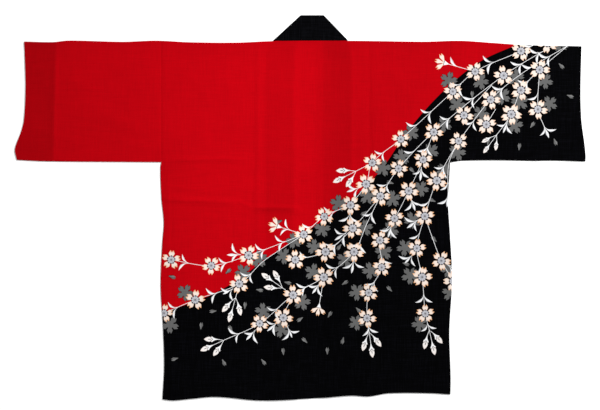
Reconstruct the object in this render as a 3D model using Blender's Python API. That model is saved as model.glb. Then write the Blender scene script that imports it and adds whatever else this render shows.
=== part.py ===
"""Happi coat laid flat with its back up, built from the pieces that a maker cuts.

The frame is in metres: +X runs to the wearer's right sleeve, +Y towards the collar and +Z up
from the surface that the coat lies on. The origin is below the middle of the laid coat, on that
surface. Places on the coat are given as x and drop, the distance below the shoulder line.

Each piece is a wall of cloth round a grid of points in the middle of its thickness. The fronts,
the front strips of the collar and the lower layers of the sleeves lie flat on the surface. The
back, the collar behind the neck and the upper layers of the sleeves lie on them.
"""

import math
from collections import namedtuple

import bpy
from mathutils import Vector

# Driving dimensions
CLOTH = 0.0010              # wall of the printed cotton
BAND_CLOTH = 0.0018         # wall of the collar, which is folded double
SEAM_GAP = 0.0003           # between two pieces that are sewn together
BODY_LENGTH = 0.805         # from the shoulder line to the hem
SLEEVE_DROP = 0.2727        # from the shoulder line to the bottom of a sleeve
LEFT_SEAM = -0.3116         # x of the seam between the body and the left sleeve
RIGHT_SEAM = 0.3376         # x of the seam between the body and the right sleeve
COLLAR_RISE = 0.0574        # height of the collar behind the neck
UPPER_LAYER = 0.0030        # height of the middle of the upper cloth at the coat's edges
UPPER_BAND = 0.0033         # height of the middle of the collar behind the neck
NECK_FOLD_RISE = 0.0030     # height above the shoulder line at which the collar's folds begin
FREE_TURN = 0.0190          # height there of the strips' free edges, where they turn to the folds
HEM_TUCK = 0.0020           # how far the hem of the fronts stays behind the hem of the back
LAID_MIDDLE = 0.3755        # drop of the middle of the laid coat
CREASE_FADE = 0.014         # distance from a folded edge over which the creases rise
CREASE_TAIL = 0.2           # part of its length by which a crease runs on while it fades
SHARP_ANGLE = math.radians(50)

# Counts of cells in the walls
BACK_CELLS = (8, 1, 3, 3, 3, 2, 7)  # across the back, between its lines and the strips' edges
FRONT_CELLS = 7             # across each front
ROLL_CELLS = 3              # in the round of a folded or seamed edge
ROWS_ABOVE = 10             # in the body, from the shoulder to the bottom of the armhole
ROWS_BELOW = 20             # in the body, from there to the hem
TURN_ROW = 0.009            # length of the row in which the side seam takes its round
SLEEVE_ROWS = 13            # in a sleeve, from the armhole to the cuff
UPPER_CELLS = 11            # across the upper layer of a sleeve
LOWER_CELLS = 4             # across its lower layer
BAND_CELLS = 3              # across the collar
FOLD_CELLS = 6              # in each fold of the collar

LOWER_LAYER = CLOTH / 2     # height of the middle of the lower cloth
ROLL = (UPPER_LAYER - LOWER_LAYER) / 2
BAND_ROLL = (UPPER_BAND - BAND_CLOTH / 2) / 2
LEFT_LINE = -0.095          # x of the long crease left of the collar's strips
RIGHT_LINE = 0.154          # x of the long crease right of them

# The edges of the laid coat, each with a few points on its smooth line
Across = namedtuple("Across", "x drop")
Down = namedtuple("Down", "drop x")

SHOULDER_LINE = (
    Across(-0.6206, 0.0012), Across(-0.5570, 0.0025), Across(-0.5200, -0.0010),
    Across(-0.4000, 0.0018), Across(-0.3240, -0.0008), Across(-0.2500, 0.0027),
    Across(-0.1440, 0.0036), Across(-0.0608, 0.0002), Across(0.1069, -0.0006),
    Across(0.1800, 0.0002), Across(0.2800, 0.0014), Across(0.3600, -0.0006),
    Across(0.4320, 0.0040), Across(0.5040, 0.0088), Across(0.6320, 0.0117),
)
SLEEVE_BOTTOM = (
    Across(-0.6368, 0.2666), Across(-0.6100, 0.2684), Across(-0.5570, 0.2708),
    Across(-0.4000, 0.2722), Across(LEFT_SEAM, SLEEVE_DROP), Across(RIGHT_SEAM, SLEEVE_DROP),
    Across(0.3610, 0.2695), Across(0.4400, 0.2684), Across(0.5200, 0.2698),
    Across(0.5600, 0.2692), Across(0.6408, 0.2716),
)
HEM = (
    Across(-0.3100, 0.8055), Across(-0.2869, 0.8082), Across(-0.2500, 0.8050),
    Across(-0.1890, 0.8001), Across(-0.0889, 0.8082), Across(0.0550, 0.8019),
    Across(0.1125, 0.7972), Across(0.1540, 0.7990), Across(0.1990, 0.7920),
    Across(0.2890, 0.7918), Across(0.3380, 0.7945),
)
LEFT_CUFF_LINE = (
    Down(0.0, -0.6206), Down(0.0300, -0.6190), Down(0.1100, -0.6172), Down(0.1780, -0.6208),
    Down(0.2050, -0.6275), Down(0.2320, -0.6380), Down(0.2460, -0.6413), Down(0.2666, -0.6368),
)
RIGHT_CUFF_LINE = (
    Down(0.0117, 0.6322), Down(0.1100, 0.6298), Down(0.1780, 0.6318), Down(0.2320, 0.6388),
    Down(0.2590, 0.6413), Down(0.2716, 0.6408),
)
LEFT_SIDE = (
    Down(SLEEVE_DROP, LEFT_SEAM), Down(0.2830, -0.3146), Down(0.3530, -0.3123),
    Down(0.4070, -0.3071), Down(0.4610, -0.3107), Down(0.5510, -0.3140), Down(0.6410, -0.3088),
    Down(0.7310, -0.3062), Down(0.8055, -0.3100),
)
RIGHT_SIDE = (
    Down(SLEEVE_DROP, RIGHT_SEAM), Down(0.3170, 0.3353), Down(0.3710, 0.3328),
    Down(0.4430, 0.3370), Down(0.5420, 0.3417), Down(0.6410, 0.3362), Down(0.6770, 0.3355),
    Down(0.7670, 0.3384), Down(0.8055, 0.3378),
)

# The two front strips of the collar under the back: the sewn edge and the free edge of each
Strip = namedtuple("Strip", "drop sewn free")
LEFT_STRIP = (
    Strip(0.0, -0.0608, -0.0088), Strip(0.0350, -0.0715, -0.0155), Strip(0.3000, -0.0725, -0.0160),
    Strip(BODY_LENGTH, -0.0725, -0.0160),
)
RIGHT_STRIP = (
    Strip(0.0, 0.1069, 0.0520), Strip(0.0350, 0.1145, 0.0518), Strip(0.3000, 0.1150, 0.0518),
    Strip(BODY_LENGTH, 0.1150, 0.0518),
)
LEFT_TOP_CORNER = 0.0004    # x where the left fold of the collar meets its free edge
RIGHT_TOP_CORNER = 0.0533   # x where the right fold meets it

# The main creases of the upper cloth: soft ridges, and troughs with a height below zero
Crease = namedtuple("Crease", "x0 drop0 x1 drop1 width height")
CREASES = (
    Crease(-0.094, 0.030, -0.096, 0.440, 0.007, 0.0010),
    Crease(-0.100, 0.640, -0.112, 0.790, 0.008, 0.0011),
    Crease(0.152, 0.070, 0.156, 0.460, 0.009, -0.0009),
    Crease(0.160, 0.600, 0.152, 0.780, 0.009, 0.0010),
    Crease(-0.296, 0.268, -0.120, 0.266, 0.006, 0.0010),
    Crease(-0.290, 0.306, -0.110, 0.300, 0.016, -0.0008),
    Crease(-0.306, 0.356, -0.140, 0.366, 0.008, 0.0019),
    Crease(-0.110, 0.378, 0.010, 0.384, 0.009, 0.0016),
    Crease(-0.296, 0.290, -0.302, 0.480, 0.007, 0.0009),
    Crease(0.050, 0.515, 0.290, 0.470, 0.014, 0.0012),
    Crease(-0.270, 0.560, -0.060, 0.590, 0.015, 0.0010),
    Crease(0.240, 0.180, 0.318, 0.330, 0.012, 0.0011),
    Crease(-0.552, 0.020, -0.556, 0.255, 0.008, 0.0011),
    Crease(0.566, 0.030, 0.570, 0.255, 0.008, 0.0010),
    Crease(-0.470, 0.160, -0.345, 0.205, 0.016, 0.0012),
    Crease(0.370, 0.215, 0.520, 0.160, 0.016, 0.0012),
    Crease(-0.430, 0.060, -0.350, 0.050, 0.014, 0.0007),
    Crease(0.395, 0.070, 0.480, 0.090, 0.014, 0.0008),
)
STRIP_BUMP = 0.0007         # rise of the back over a strip of the collar
GAP_SAG = -0.0009           # sag of the back in the open front between the strips
STRIP_SOFT = 0.012          # distance over which the back goes from one to the other
STRIP_LEAD = 0.009          # distance before the edge of a strip at which the rise begins

# Colours as linear red, green and blue, with roughness
RED_COTTON = ((0.520, 0.002, 0.006), 0.80)
BLACK_COTTON = ((0.004, 0.004, 0.005), 0.82)
COLLAR_BLACK = ((0.003, 0.003, 0.003), 0.78)


def remove_scene_objects():
    for old in list(bpy.data.objects):
        bpy.data.objects.remove(old, do_unlink=True)


def mix(start, end, part):
    return start + (end - start) * part


def soft_step(part):
    """Rise from 0 to 1 with level ends."""
    part = min(max(part, 0.0), 1.0)
    return part * part * (3 - 2 * part)


def on_curve(rows, at, column=1):
    """The value of a column on the smooth curve through the rows, whose first column is at."""
    if at <= rows[0][0]:
        return rows[0][column]
    if at >= rows[-1][0]:
        return rows[-1][column]
    first = max(i for i in range(len(rows) - 1) if rows[i][0] <= at)

    def slope(index):
        before = rows[max(index - 1, 0)]
        after = rows[min(index + 1, len(rows) - 1)]
        return (after[column] - before[column]) / (after[0] - before[0])

    start, end = rows[first], rows[first + 1]
    length = end[0] - start[0]
    t = (at - start[0]) / length
    return (
        (2 * t**3 - 3 * t**2 + 1) * start[column]
        + (t**3 - 2 * t**2 + t) * length * slope(first)
        + (3 * t**2 - 2 * t**3) * end[column]
        + (t**3 - t**2) * length * slope(first + 1)
    )


def edge_distance(x, drop):
    """Distance from a place on the coat to the nearest folded or seamed edge of the outline."""
    from_shoulder = drop - on_curve(SHOULDER_LINE, x)
    in_body = LEFT_SEAM - SEAM_GAP / 2 < x < RIGHT_SEAM + SEAM_GAP / 2
    if not in_body:
        return min(from_shoulder, on_curve(SLEEVE_BOTTOM, x) - drop)
    if drop < SLEEVE_DROP:
        aside = min(x - LEFT_SEAM, RIGHT_SEAM - x)
        return min(from_shoulder, math.hypot(aside, SLEEVE_DROP - drop))
    return min(x - on_curve(LEFT_SIDE, drop), on_curve(RIGHT_SIDE, drop) - x)


def crease_height(crease, x, drop):
    """Height that one crease adds at a place: a soft ridge that fades out at its ends."""
    along = Vector((crease.x1 - crease.x0, crease.drop1 - crease.drop0))
    offset = Vector((x - crease.x0, drop - crease.drop0))
    part = offset.dot(along) / along.length_squared
    start = (part + CREASE_TAIL) / (2 * CREASE_TAIL)
    end = (1 + CREASE_TAIL - part) / (2 * CREASE_TAIL)
    aside = (offset - along * part).length / crease.width
    ends = soft_step(start) * soft_step(end)
    return crease.height * math.exp(-aside * aside) * ends


def over_strips(x, drop):
    """Rise of the back over the collar's front strips and its sag between them."""
    height = 0.0
    for strip in (LEFT_STRIP, RIGHT_STRIP):
        sewn = on_curve(strip, drop, 1)
        free = on_curve(strip, drop, 2)
        inside = min(x - min(sewn, free), max(sewn, free) - x)
        height += STRIP_BUMP * soft_step((inside + STRIP_LEAD) / STRIP_SOFT)
    left = on_curve(LEFT_STRIP, drop, 2)
    right = on_curve(RIGHT_STRIP, drop, 2)
    past = min(x - left, right - x) - STRIP_SOFT / 2
    return height + GAP_SAG * soft_step(past / STRIP_SOFT)


def upper_height(x, drop):
    """Height of the middle of the upper cloth, level along the folded and seamed edges."""
    relief = sum(crease_height(crease, x, drop) for crease in CREASES)
    if LEFT_SEAM < x < RIGHT_SEAM:
        relief += over_strips(x, drop)
    return UPPER_LAYER + relief * soft_step(edge_distance(x, drop) / CREASE_FADE)


def place(x, drop, z):
    """The point at a place on the coat."""
    return Vector((x, LAID_MIDDLE - drop, z))


def wall(name, grid, thickness, closed, look):
    """A closed solid: a wall of even thickness round rows of points in its middle.

    A closed grid joins the last point of each row to its first, which makes a tube open at both
    ends.
    """
    rows, columns = len(grid), len(grid[0])
    outer, inner = [], []
    for i in range(rows):
        for j in range(columns):
            back, front = grid[max(i - 1, 0)][j], grid[min(i + 1, rows - 1)][j]
            if closed:
                left, right = grid[i][j - 1], grid[i][(j + 1) % columns]
            else:
                left, right = grid[i][max(j - 1, 0)], grid[i][min(j + 1, columns - 1)]
            normal = (right - left).cross(front - back).normalized()
            outer.append(grid[i][j] - normal * thickness / 2)
            inner.append(grid[i][j] + normal * thickness / 2)

    shift = len(outer)
    last = columns if closed else columns - 1
    faces = []
    for i in range(rows - 1):
        for j in range(last):
            a, b = i * columns + j, i * columns + (j + 1) % columns
            c, d = b + columns, a + columns
            faces.append((a, d, c, b))
            faces.append((a + shift, b + shift, c + shift, d + shift))
    for j in range(last):
        a, b = j, (j + 1) % columns
        faces.append((a, b, b + shift, a + shift))
        a, b = a + (rows - 1) * columns, b + (rows - 1) * columns
        faces.append((b, a, a + shift, b + shift))
    if not closed:
        for i in range(rows - 1):
            a, b = i * columns, (i + 1) * columns
            faces.append((b, a, a + shift, b + shift))
            a, b = a + columns - 1, b + columns - 1
            faces.append((a, b, b + shift, a + shift))

    mesh = bpy.data.meshes.new(name)
    mesh.from_pydata(outer + inner, [], faces)
    mesh.shade_smooth()
    mesh.set_sharp_from_angle(angle=SHARP_ANGLE)
    mesh.materials.append(finish(name, *look))
    piece = bpy.data.objects.new(name, mesh)
    bpy.context.collection.objects.link(piece)
    return piece


def finish(name, colour, roughness):
    """The plain material of one piece."""
    material = bpy.data.materials.new(name + "_cloth")
    material.use_nodes = True
    shader = material.node_tree.nodes["Principled BSDF"]
    shader.inputs["Base Color"].default_value = (*colour, 1.0)
    shader.inputs["Roughness"].default_value = roughness
    shader.inputs["Metallic"].default_value = 0.0
    material.diffuse_color = (*colour, 1.0)
    return material


def edge_roll(rolled):
    """Inset and turn of the points in an edge, from the flat cloth to the very edge.

    A rolled edge turns towards the other layer through a quarter round; a plain one stays flat
    and ends half a seam gap from the outline.
    """
    points = []
    for k in range(ROLL_CELLS + 1):
        angle = math.pi / 2 * k / ROLL_CELLS
        inset = ROLL * (1 - math.sin(angle)) + mix(SEAM_GAP, CLOTH, rolled) / 2
        points.append((inset, (ROLL - SEAM_GAP) * (1 - math.cos(angle)) * rolled))
    return points


def body_rows():
    """Drops of the body's rows, with a short row where the side seams begin."""
    start = SLEEVE_DROP + TURN_ROW
    above = [SLEEVE_DROP * k / ROWS_ABOVE for k in range(ROWS_ABOVE + 1)]
    below = [mix(start, BODY_LENGTH, k / ROWS_BELOW) for k in range(ROWS_BELOW + 1)]
    return above + below


def body_side(side, drop):
    """X of the body's left (-1) or right (1) edge, and whether the edge is rolled there."""
    line, seam = (LEFT_SIDE, LEFT_SEAM) if side < 0 else (RIGHT_SIDE, RIGHT_SEAM)
    if drop < SLEEVE_DROP + TURN_ROW / 2:
        return seam, 0.0
    return on_curve(line, drop), 1.0


def true_drop(x, drop, tuck):
    """Drop on the laid coat of a place in a panel, whose rows follow its shoulder and hem."""
    return mix(on_curve(SHOULDER_LINE, x), on_curve(HEM, x) - tuck, drop / BODY_LENGTH)


def back_columns(drop):
    """X of the columns of the back between its side edges."""
    stops = (
        body_side(-1, drop)[0], LEFT_LINE,
        on_curve(LEFT_STRIP, drop, 1), on_curve(LEFT_STRIP, drop, 2),
        on_curve(RIGHT_STRIP, drop, 2), on_curve(RIGHT_STRIP, drop, 1),
        RIGHT_LINE, body_side(1, drop)[0],
    )
    columns = []
    for start, end, cells in zip(stops, stops[1:], BACK_CELLS):
        columns += [mix(start, end, k / cells) for k in range(cells)]
    return columns[1:]


def front_left_columns(drop):
    edge, inner = body_side(-1, drop)[0], on_curve(LEFT_STRIP, drop, 1) - SEAM_GAP / 2
    return [mix(edge, inner, k / FRONT_CELLS) for k in range(1, FRONT_CELLS + 1)]


def front_right_columns(drop):
    edge, inner = body_side(1, drop)[0], on_curve(RIGHT_STRIP, drop, 1) + SEAM_GAP / 2
    return [mix(inner, edge, k / FRONT_CELLS) for k in range(FRONT_CELLS)]


def panel_row(drop, columns, sides):
    """X and turn of the points in one row, with the edge at each side that is seamed."""
    row = [(x, 0.0) for x in columns(drop)]
    for side in sides:
        edge, rolled = body_side(side, drop)
        rim = [(edge - side * inset, turn) for inset, turn in edge_roll(rolled)]
        row = rim[::-1] + row if side < 0 else row + rim
    return row


def panel_places(columns, sides, tuck, open_neck):
    """Rows of (x, drop, turn) over a panel of the body, from its shoulder edge to its hem."""
    rows = []
    for drop in body_rows():
        row = panel_row(drop, columns, sides)
        rows.append([(x, true_drop(x, drop, tuck), turn) for x, turn in row])
    neck_start, neck_end = LEFT_STRIP[0].sewn + SEAM_GAP, RIGHT_STRIP[0].sewn - SEAM_GAP
    shoulder = []
    for k in reversed(range(ROLL_CELLS + 1)):
        row = []
        for x, drop, turn in rows[0]:
            rolled = 0.0 if open_neck and neck_start < x < neck_end else 1.0
            inset, shoulder_turn = edge_roll(rolled)[k]
            row.append((x, drop + inset, turn + shoulder_turn))
        shoulder.append(row)
    return shoulder + rows[1:]


def make_back():
    grid = [
        [place(x, drop, upper_height(x, drop) - turn) for x, drop, turn in row]
        for row in panel_places(back_columns, (-1, 1), 0.0, open_neck=True)
    ]
    wall("back", grid, CLOTH, False, RED_COTTON)


def make_front(name, columns, side, look):
    grid = [
        [place(x, drop, LOWER_LAYER + turn) for x, drop, turn in row]
        for row in panel_places(columns, (side,), HEM_TUCK, open_neck=False)
    ]
    wall(name, grid, CLOTH, False, look)


def half_round(drop, reach, start):
    """Drop and height of points half round an edge, between the two layers of a sleeve."""
    points = []
    for k in range(2 * ROLL_CELLS):
        angle = math.pi / 2 * k / ROLL_CELLS
        height = LOWER_LAYER + ROLL + start * math.cos(angle)
        points.append((drop + reach * math.sin(angle), height))
    return points


def sleeve_ring(top, bottom):
    """Drop and height of the points round a sleeve: up its upper layer, over the fold at its top,
    back along its lower layer and round the seam at its bottom. A height of None is the upper
    layer's own."""
    upper_end, lower_end = top + ROLL + CLOTH / 2, bottom - ROLL - CLOTH / 2
    ring = [(mix(lower_end, upper_end, k / UPPER_CELLS), None) for k in range(UPPER_CELLS)]
    ring += half_round(upper_end, -ROLL, ROLL)
    ring += [(mix(upper_end, lower_end, k / LOWER_CELLS), LOWER_LAYER) for k in range(LOWER_CELLS)]
    ring += half_round(lower_end, ROLL, -ROLL)
    return ring


def make_sleeve(name, seam, cuff_line, look):
    """A flat tube from the armhole to the cuff, its rows in the order of rising x."""
    side = math.copysign(1, seam)
    start = seam + side * SEAM_GAP / 2
    grid = []
    for row in range(SLEEVE_ROWS + 1):
        part = row / SLEEVE_ROWS
        middle = mix(start, cuff_line[0].x, part)
        line = []
        ring = sleeve_ring(on_curve(SHOULDER_LINE, middle), on_curve(SLEEVE_BOTTOM, middle))
        for drop, z in ring:
            x = mix(start, on_curve(cuff_line, drop), part)
            line.append(place(x, drop, upper_height(x, drop) if z is None else z))
        grid.append(line)
    wall(name, grid if side > 0 else grid[::-1], CLOTH, True, look)


def collar_fold(sewn_corner, top_corner):
    """Stations (sewn point, free point) of one flat fold, from the lower layer to the upper."""
    crease = Vector(top_corner) - Vector(sewn_corner)
    inward = Vector((-crease.y, crease.x)).normalized()
    if inward.y < 0:
        inward.negate()
    reach = inward * (BAND_ROLL + BAND_CLOTH / 2)
    stations = []
    for k in range(FOLD_CELLS + 1):
        angle = math.pi * k / FOLD_CELLS
        shift = reach - inward * BAND_ROLL * math.sin(angle)
        z = BAND_CLOTH / 2 + BAND_ROLL * (1 - math.cos(angle))
        ends = [Vector(corner) + shift for corner in (sewn_corner, top_corner)]
        stations.append([place(end.x, end.y, z) for end in ends])
    return stations


def collar_strip(strip, side):
    """Stations of one front strip from the hem up to the neck, beside its front panel."""
    drops = body_rows()
    stations = []
    for drop in reversed(drops[1:]):
        sewn = on_curve(strip, drop, 1) - side * SEAM_GAP / 2
        free = on_curve(strip, drop, 2)
        at = true_drop(sewn, drop, HEM_TUCK)
        stations.append([place(sewn, at, BAND_CLOTH / 2), place(free, at, BAND_CLOTH / 2)])
    neck = strip[0]
    at = true_drop(neck.sewn, 0.0, HEM_TUCK) + ROLL + CLOTH / 2
    stations.append([
        place(neck.sewn - side * SEAM_GAP / 2, at, BAND_CLOTH / 2),
        place(neck.free, -FREE_TURN, BAND_CLOTH / 2),
    ])
    return stations


def make_collar():
    """The band from one hem up its front, folded behind the neck, and down to the other hem."""
    corners = []
    for strip, top_x in ((LEFT_STRIP, LEFT_TOP_CORNER), (RIGHT_STRIP, RIGHT_TOP_CORNER)):
        neck = strip[0].sewn
        start = (neck, on_curve(SHOULDER_LINE, neck) - NECK_FOLD_RISE)
        corners.append((start, (top_x, -COLLAR_RISE)))
    neck_start, neck_end = LEFT_STRIP[0].sewn + CLOTH, RIGHT_STRIP[0].sewn - CLOTH
    neck_columns = [x for x in back_columns(0.0) if neck_start < x < neck_end]
    behind = []
    for index, x in enumerate(neck_columns):
        free = mix(LEFT_TOP_CORNER, RIGHT_TOP_CORNER, (index + 1) / (len(neck_columns) + 1))
        sewn_drop = on_curve(SHOULDER_LINE, x) - SEAM_GAP / 2
        behind.append([place(x, sewn_drop, UPPER_BAND), place(free, -COLLAR_RISE, UPPER_BAND)])
    stations = (
        collar_strip(LEFT_STRIP, -1) + collar_fold(*corners[0]) + behind
        + collar_fold(*corners[1])[::-1] + collar_strip(RIGHT_STRIP, 1)[::-1]
    )
    parts = [k / BAND_CELLS for k in range(BAND_CELLS + 1)]
    grid = [[sewn.lerp(free, part) for part in parts] for sewn, free in stations]
    wall("collar", grid, BAND_CLOTH, False, COLLAR_BLACK)


remove_scene_objects()
make_back()
make_front("front_left", front_left_columns, -1, RED_COTTON)
make_front("front_right", front_right_columns, 1, BLACK_COTTON)
make_sleeve("sleeve_left", LEFT_SEAM, LEFT_CUFF_LINE, RED_COTTON)
make_sleeve("sleeve_right", RIGHT_SEAM, RIGHT_CUFF_LINE, BLACK_COTTON)
make_collar()
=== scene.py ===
"""Looks of a happi coat laid flat with its back up.

Written as an add-on and run as a script: the frame is loaded first, then each operator makes one
group of pieces. The cloth is thin shells on the form of the solids, with the print drawn in the
material from places that are stored on the cloth.

Places on the coat are given as x and drop, the distance below the shoulder line, in metres.
"""

import math
from collections import namedtuple
from functools import cache

import bpy
import numpy as np
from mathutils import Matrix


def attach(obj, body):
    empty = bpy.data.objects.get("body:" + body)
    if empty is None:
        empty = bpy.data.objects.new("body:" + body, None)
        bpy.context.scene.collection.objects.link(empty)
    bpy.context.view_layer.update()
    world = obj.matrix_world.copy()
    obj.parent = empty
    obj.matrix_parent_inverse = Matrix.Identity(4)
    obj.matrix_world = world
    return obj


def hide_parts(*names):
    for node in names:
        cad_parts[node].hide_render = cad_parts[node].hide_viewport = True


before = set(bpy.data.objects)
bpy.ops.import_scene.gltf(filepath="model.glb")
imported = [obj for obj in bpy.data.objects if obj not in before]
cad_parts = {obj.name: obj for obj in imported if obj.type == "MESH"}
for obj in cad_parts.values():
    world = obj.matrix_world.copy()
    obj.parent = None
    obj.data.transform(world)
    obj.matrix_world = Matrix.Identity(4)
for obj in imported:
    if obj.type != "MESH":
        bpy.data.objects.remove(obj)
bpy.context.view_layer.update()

bl_info = {
    "name": "Happi Coat Cloth",
    "version": (1, 0, 0),
    "blender": (4, 5, 0),
    "location": "View3D > Sidebar > Happi Coat",
    "description": "Dresses a laid happi coat in printed cotton, with its collar and stitching",
    "category": "Object",
}

# The cut and the lay of the coat, the same as in its solids
SOLID_CLOTH = 0.0010
SOLID_BAND = 0.0018
BODY_LENGTH = 0.805
SLEEVE_DROP = 0.2727
LEFT_SEAM = -0.3116
RIGHT_SEAM = 0.3376
COLLAR_RISE = 0.0574
LEFT_TOP_CORNER = 0.0004
RIGHT_TOP_CORNER = 0.0533
UPPER_LAYER = 0.0030
UPPER_BAND = 0.0033
FREE_TURN = 0.0190
HEM_TUCK = 0.0020
LAID_MIDDLE = 0.3755
CREASE_FADE = 0.014
CREASE_TAIL = 0.2
STRIP_BUMP = 0.0007
GAP_SAG = -0.0009
STRIP_SOFT = 0.012
STRIP_LEAD = 0.009
LOWER_LAYER = SOLID_CLOTH / 2
ROLL = (UPPER_LAYER - LOWER_LAYER) / 2
BAND_ROLL = (UPPER_BAND - SOLID_BAND / 2) / 2

# Sizes that are the cloth's own
TURN_LENGTH = 0.009         # length over which a side seam or a neck corner takes its round
SEAM_GAP = 0.0002
NECK_FOLD_RISE = 0.0012     # how far the collar's folded corners stay clear of the shoulder line
SEAM_DIP = 0.0006           # how far the cloth dips into a seam
SEAM_DIP_WIDTH = 0.0022
CLOTH_CELL = 0.0035         # width of the cells of the upper cloth
UNDER_CELL = 0.0050         # width of the cells of the lower cloth
FRONTS_IN_BACK = 2.6        # how many times a front's width goes into the back's
ROLL_CELLS = 6
SEAM_ROWS = (0.0, 0.0006, 0.0013, 0.0022)   # close rows of cells, where a sleeve dips into its seam
CUFF_HEM_TOP = -0.5475      # x of the upper end of the left cuff's hem, at the shoulder line
CUFF_HEM_BOTTOM = -0.5560   # the same at the bottom of the sleeve
RIGHT_HEM_SHIFT = 0.018     # how much nearer to its cuff the right hem's stitches lie
STITCH_PITCH = 1.35         # from one stitch to the next, in lengths of a stitch
STITCH_LIFT = 0.15          # how far a stitch's middle stands off the cloth, in thicknesses of its thread

# The stage
FLOOR_WIDTH = 12
FLOOR_HEIGHT = -0.0004      # just below the lowest stitches
LAMP_PLACE = (1.4, 1.4, 2.3)
LAMP_RADIUS = 1.2
CAMERA_PLACE = (-0.0005, 0.0066)
FILM_WIDTH = 36.0           # in millimetres

Across = namedtuple("Across", "x drop")
Down = namedtuple("Down", "drop x")
Strip = namedtuple("Strip", "drop sewn free")
Crease = namedtuple("Crease", "x0 drop0 x1 drop1 width height")


def table(columns, *rows):
    """Rows of numbers under the names of their columns."""
    return tuple(columns(*row) for row in rows)


SHOULDER_LINE = table(
    Across,
    (-0.6206, 0.0012), (-0.557, 0.0025), (-0.52, -0.001), (-0.4, 0.0018), (-0.324, -0.0008),
    (-0.25, 0.0027), (-0.144, 0.0036), (-0.0608, 0.0002), (0.1069, -0.0006), (0.18, 0.0002),
    (0.28, 0.0014), (0.36, -0.0006), (0.432, 0.004), (0.504, 0.0088), (0.632, 0.0117),
)
SLEEVE_BOTTOM = table(
    Across,
    (-0.6368, 0.2666), (-0.61, 0.2684), (-0.557, 0.2708), (-0.4, 0.2722), (LEFT_SEAM, SLEEVE_DROP),
    (RIGHT_SEAM, SLEEVE_DROP), (0.361, 0.2695), (0.44, 0.2684), (0.52, 0.2698), (0.56, 0.2692),
    (0.6408, 0.2716),
)
HEM = table(
    Across,
    (-0.31, 0.8055), (-0.2869, 0.8082), (-0.25, 0.805), (-0.189, 0.8001), (-0.0889, 0.8082),
    (0.055, 0.8019), (0.1125, 0.7972), (0.154, 0.799), (0.199, 0.792), (0.289, 0.7918),
    (0.338, 0.7945),
)
LEFT_CUFF_LINE = table(
    Down,
    (0.0, -0.6206), (0.03, -0.619), (0.11, -0.6172), (0.178, -0.6208), (0.205, -0.6275),
    (0.232, -0.638), (0.246, -0.6413), (0.2666, -0.6368),
)
RIGHT_CUFF_LINE = table(
    Down,
    (0.0117, 0.6322), (0.11, 0.6298), (0.178, 0.6318), (0.232, 0.6388), (0.259, 0.6413),
    (0.2716, 0.6408),
)
LEFT_SIDE = table(
    Down,
    (SLEEVE_DROP, LEFT_SEAM), (0.283, -0.3146), (0.353, -0.3123), (0.407, -0.3071),
    (0.461, -0.3107), (0.551, -0.314), (0.641, -0.3088), (0.731, -0.3062), (0.8055, -0.31),
)
RIGHT_SIDE = table(
    Down,
    (SLEEVE_DROP, RIGHT_SEAM), (0.317, 0.3353), (0.371, 0.3328), (0.443, 0.337), (0.542, 0.3417),
    (0.641, 0.3362), (0.677, 0.3355), (0.767, 0.3384), (0.8055, 0.3378),
)
LEFT_STRIP = table(
    Strip,
    (0.0, -0.0608, -0.0088), (0.035, -0.0715, -0.0155), (0.3, -0.0725, -0.016),
    (BODY_LENGTH, -0.0725, -0.016),
)
RIGHT_STRIP = table(
    Strip,
    (0.0, 0.1069, 0.052), (0.035, 0.1145, 0.0518), (0.3, 0.115, 0.0518),
    (BODY_LENGTH, 0.115, 0.0518),
)

CREASES = table(
    Crease,
    (-0.094, 0.03, -0.096, 0.44, 0.007, 0.001), (-0.1, 0.64, -0.112, 0.79, 0.008, 0.0011),
    (0.152, 0.07, 0.156, 0.46, 0.009, -0.0009), (0.16, 0.6, 0.152, 0.78, 0.009, 0.001),
    (-0.296, 0.268, -0.12, 0.266, 0.006, 0.001), (-0.29, 0.306, -0.11, 0.3, 0.016, -0.0008),
    (-0.306, 0.356, -0.14, 0.366, 0.008, 0.0019), (-0.11, 0.378, 0.01, 0.384, 0.009, 0.0016),
    (-0.296, 0.29, -0.302, 0.48, 0.007, 0.0009), (0.05, 0.515, 0.29, 0.47, 0.014, 0.0012),
    (-0.27, 0.56, -0.06, 0.59, 0.015, 0.001), (0.24, 0.18, 0.318, 0.33, 0.012, 0.0011),
    (-0.552, 0.02, -0.556, 0.255, 0.008, 0.0011), (0.566, 0.03, 0.57, 0.255, 0.008, 0.001),
    (-0.47, 0.16, -0.345, 0.205, 0.016, 0.0012), (0.37, 0.215, 0.52, 0.16, 0.016, 0.0012),
    (-0.43, 0.06, -0.35, 0.05, 0.014, 0.0007), (0.395, 0.07, 0.48, 0.09, 0.014, 0.0008),
)

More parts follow.
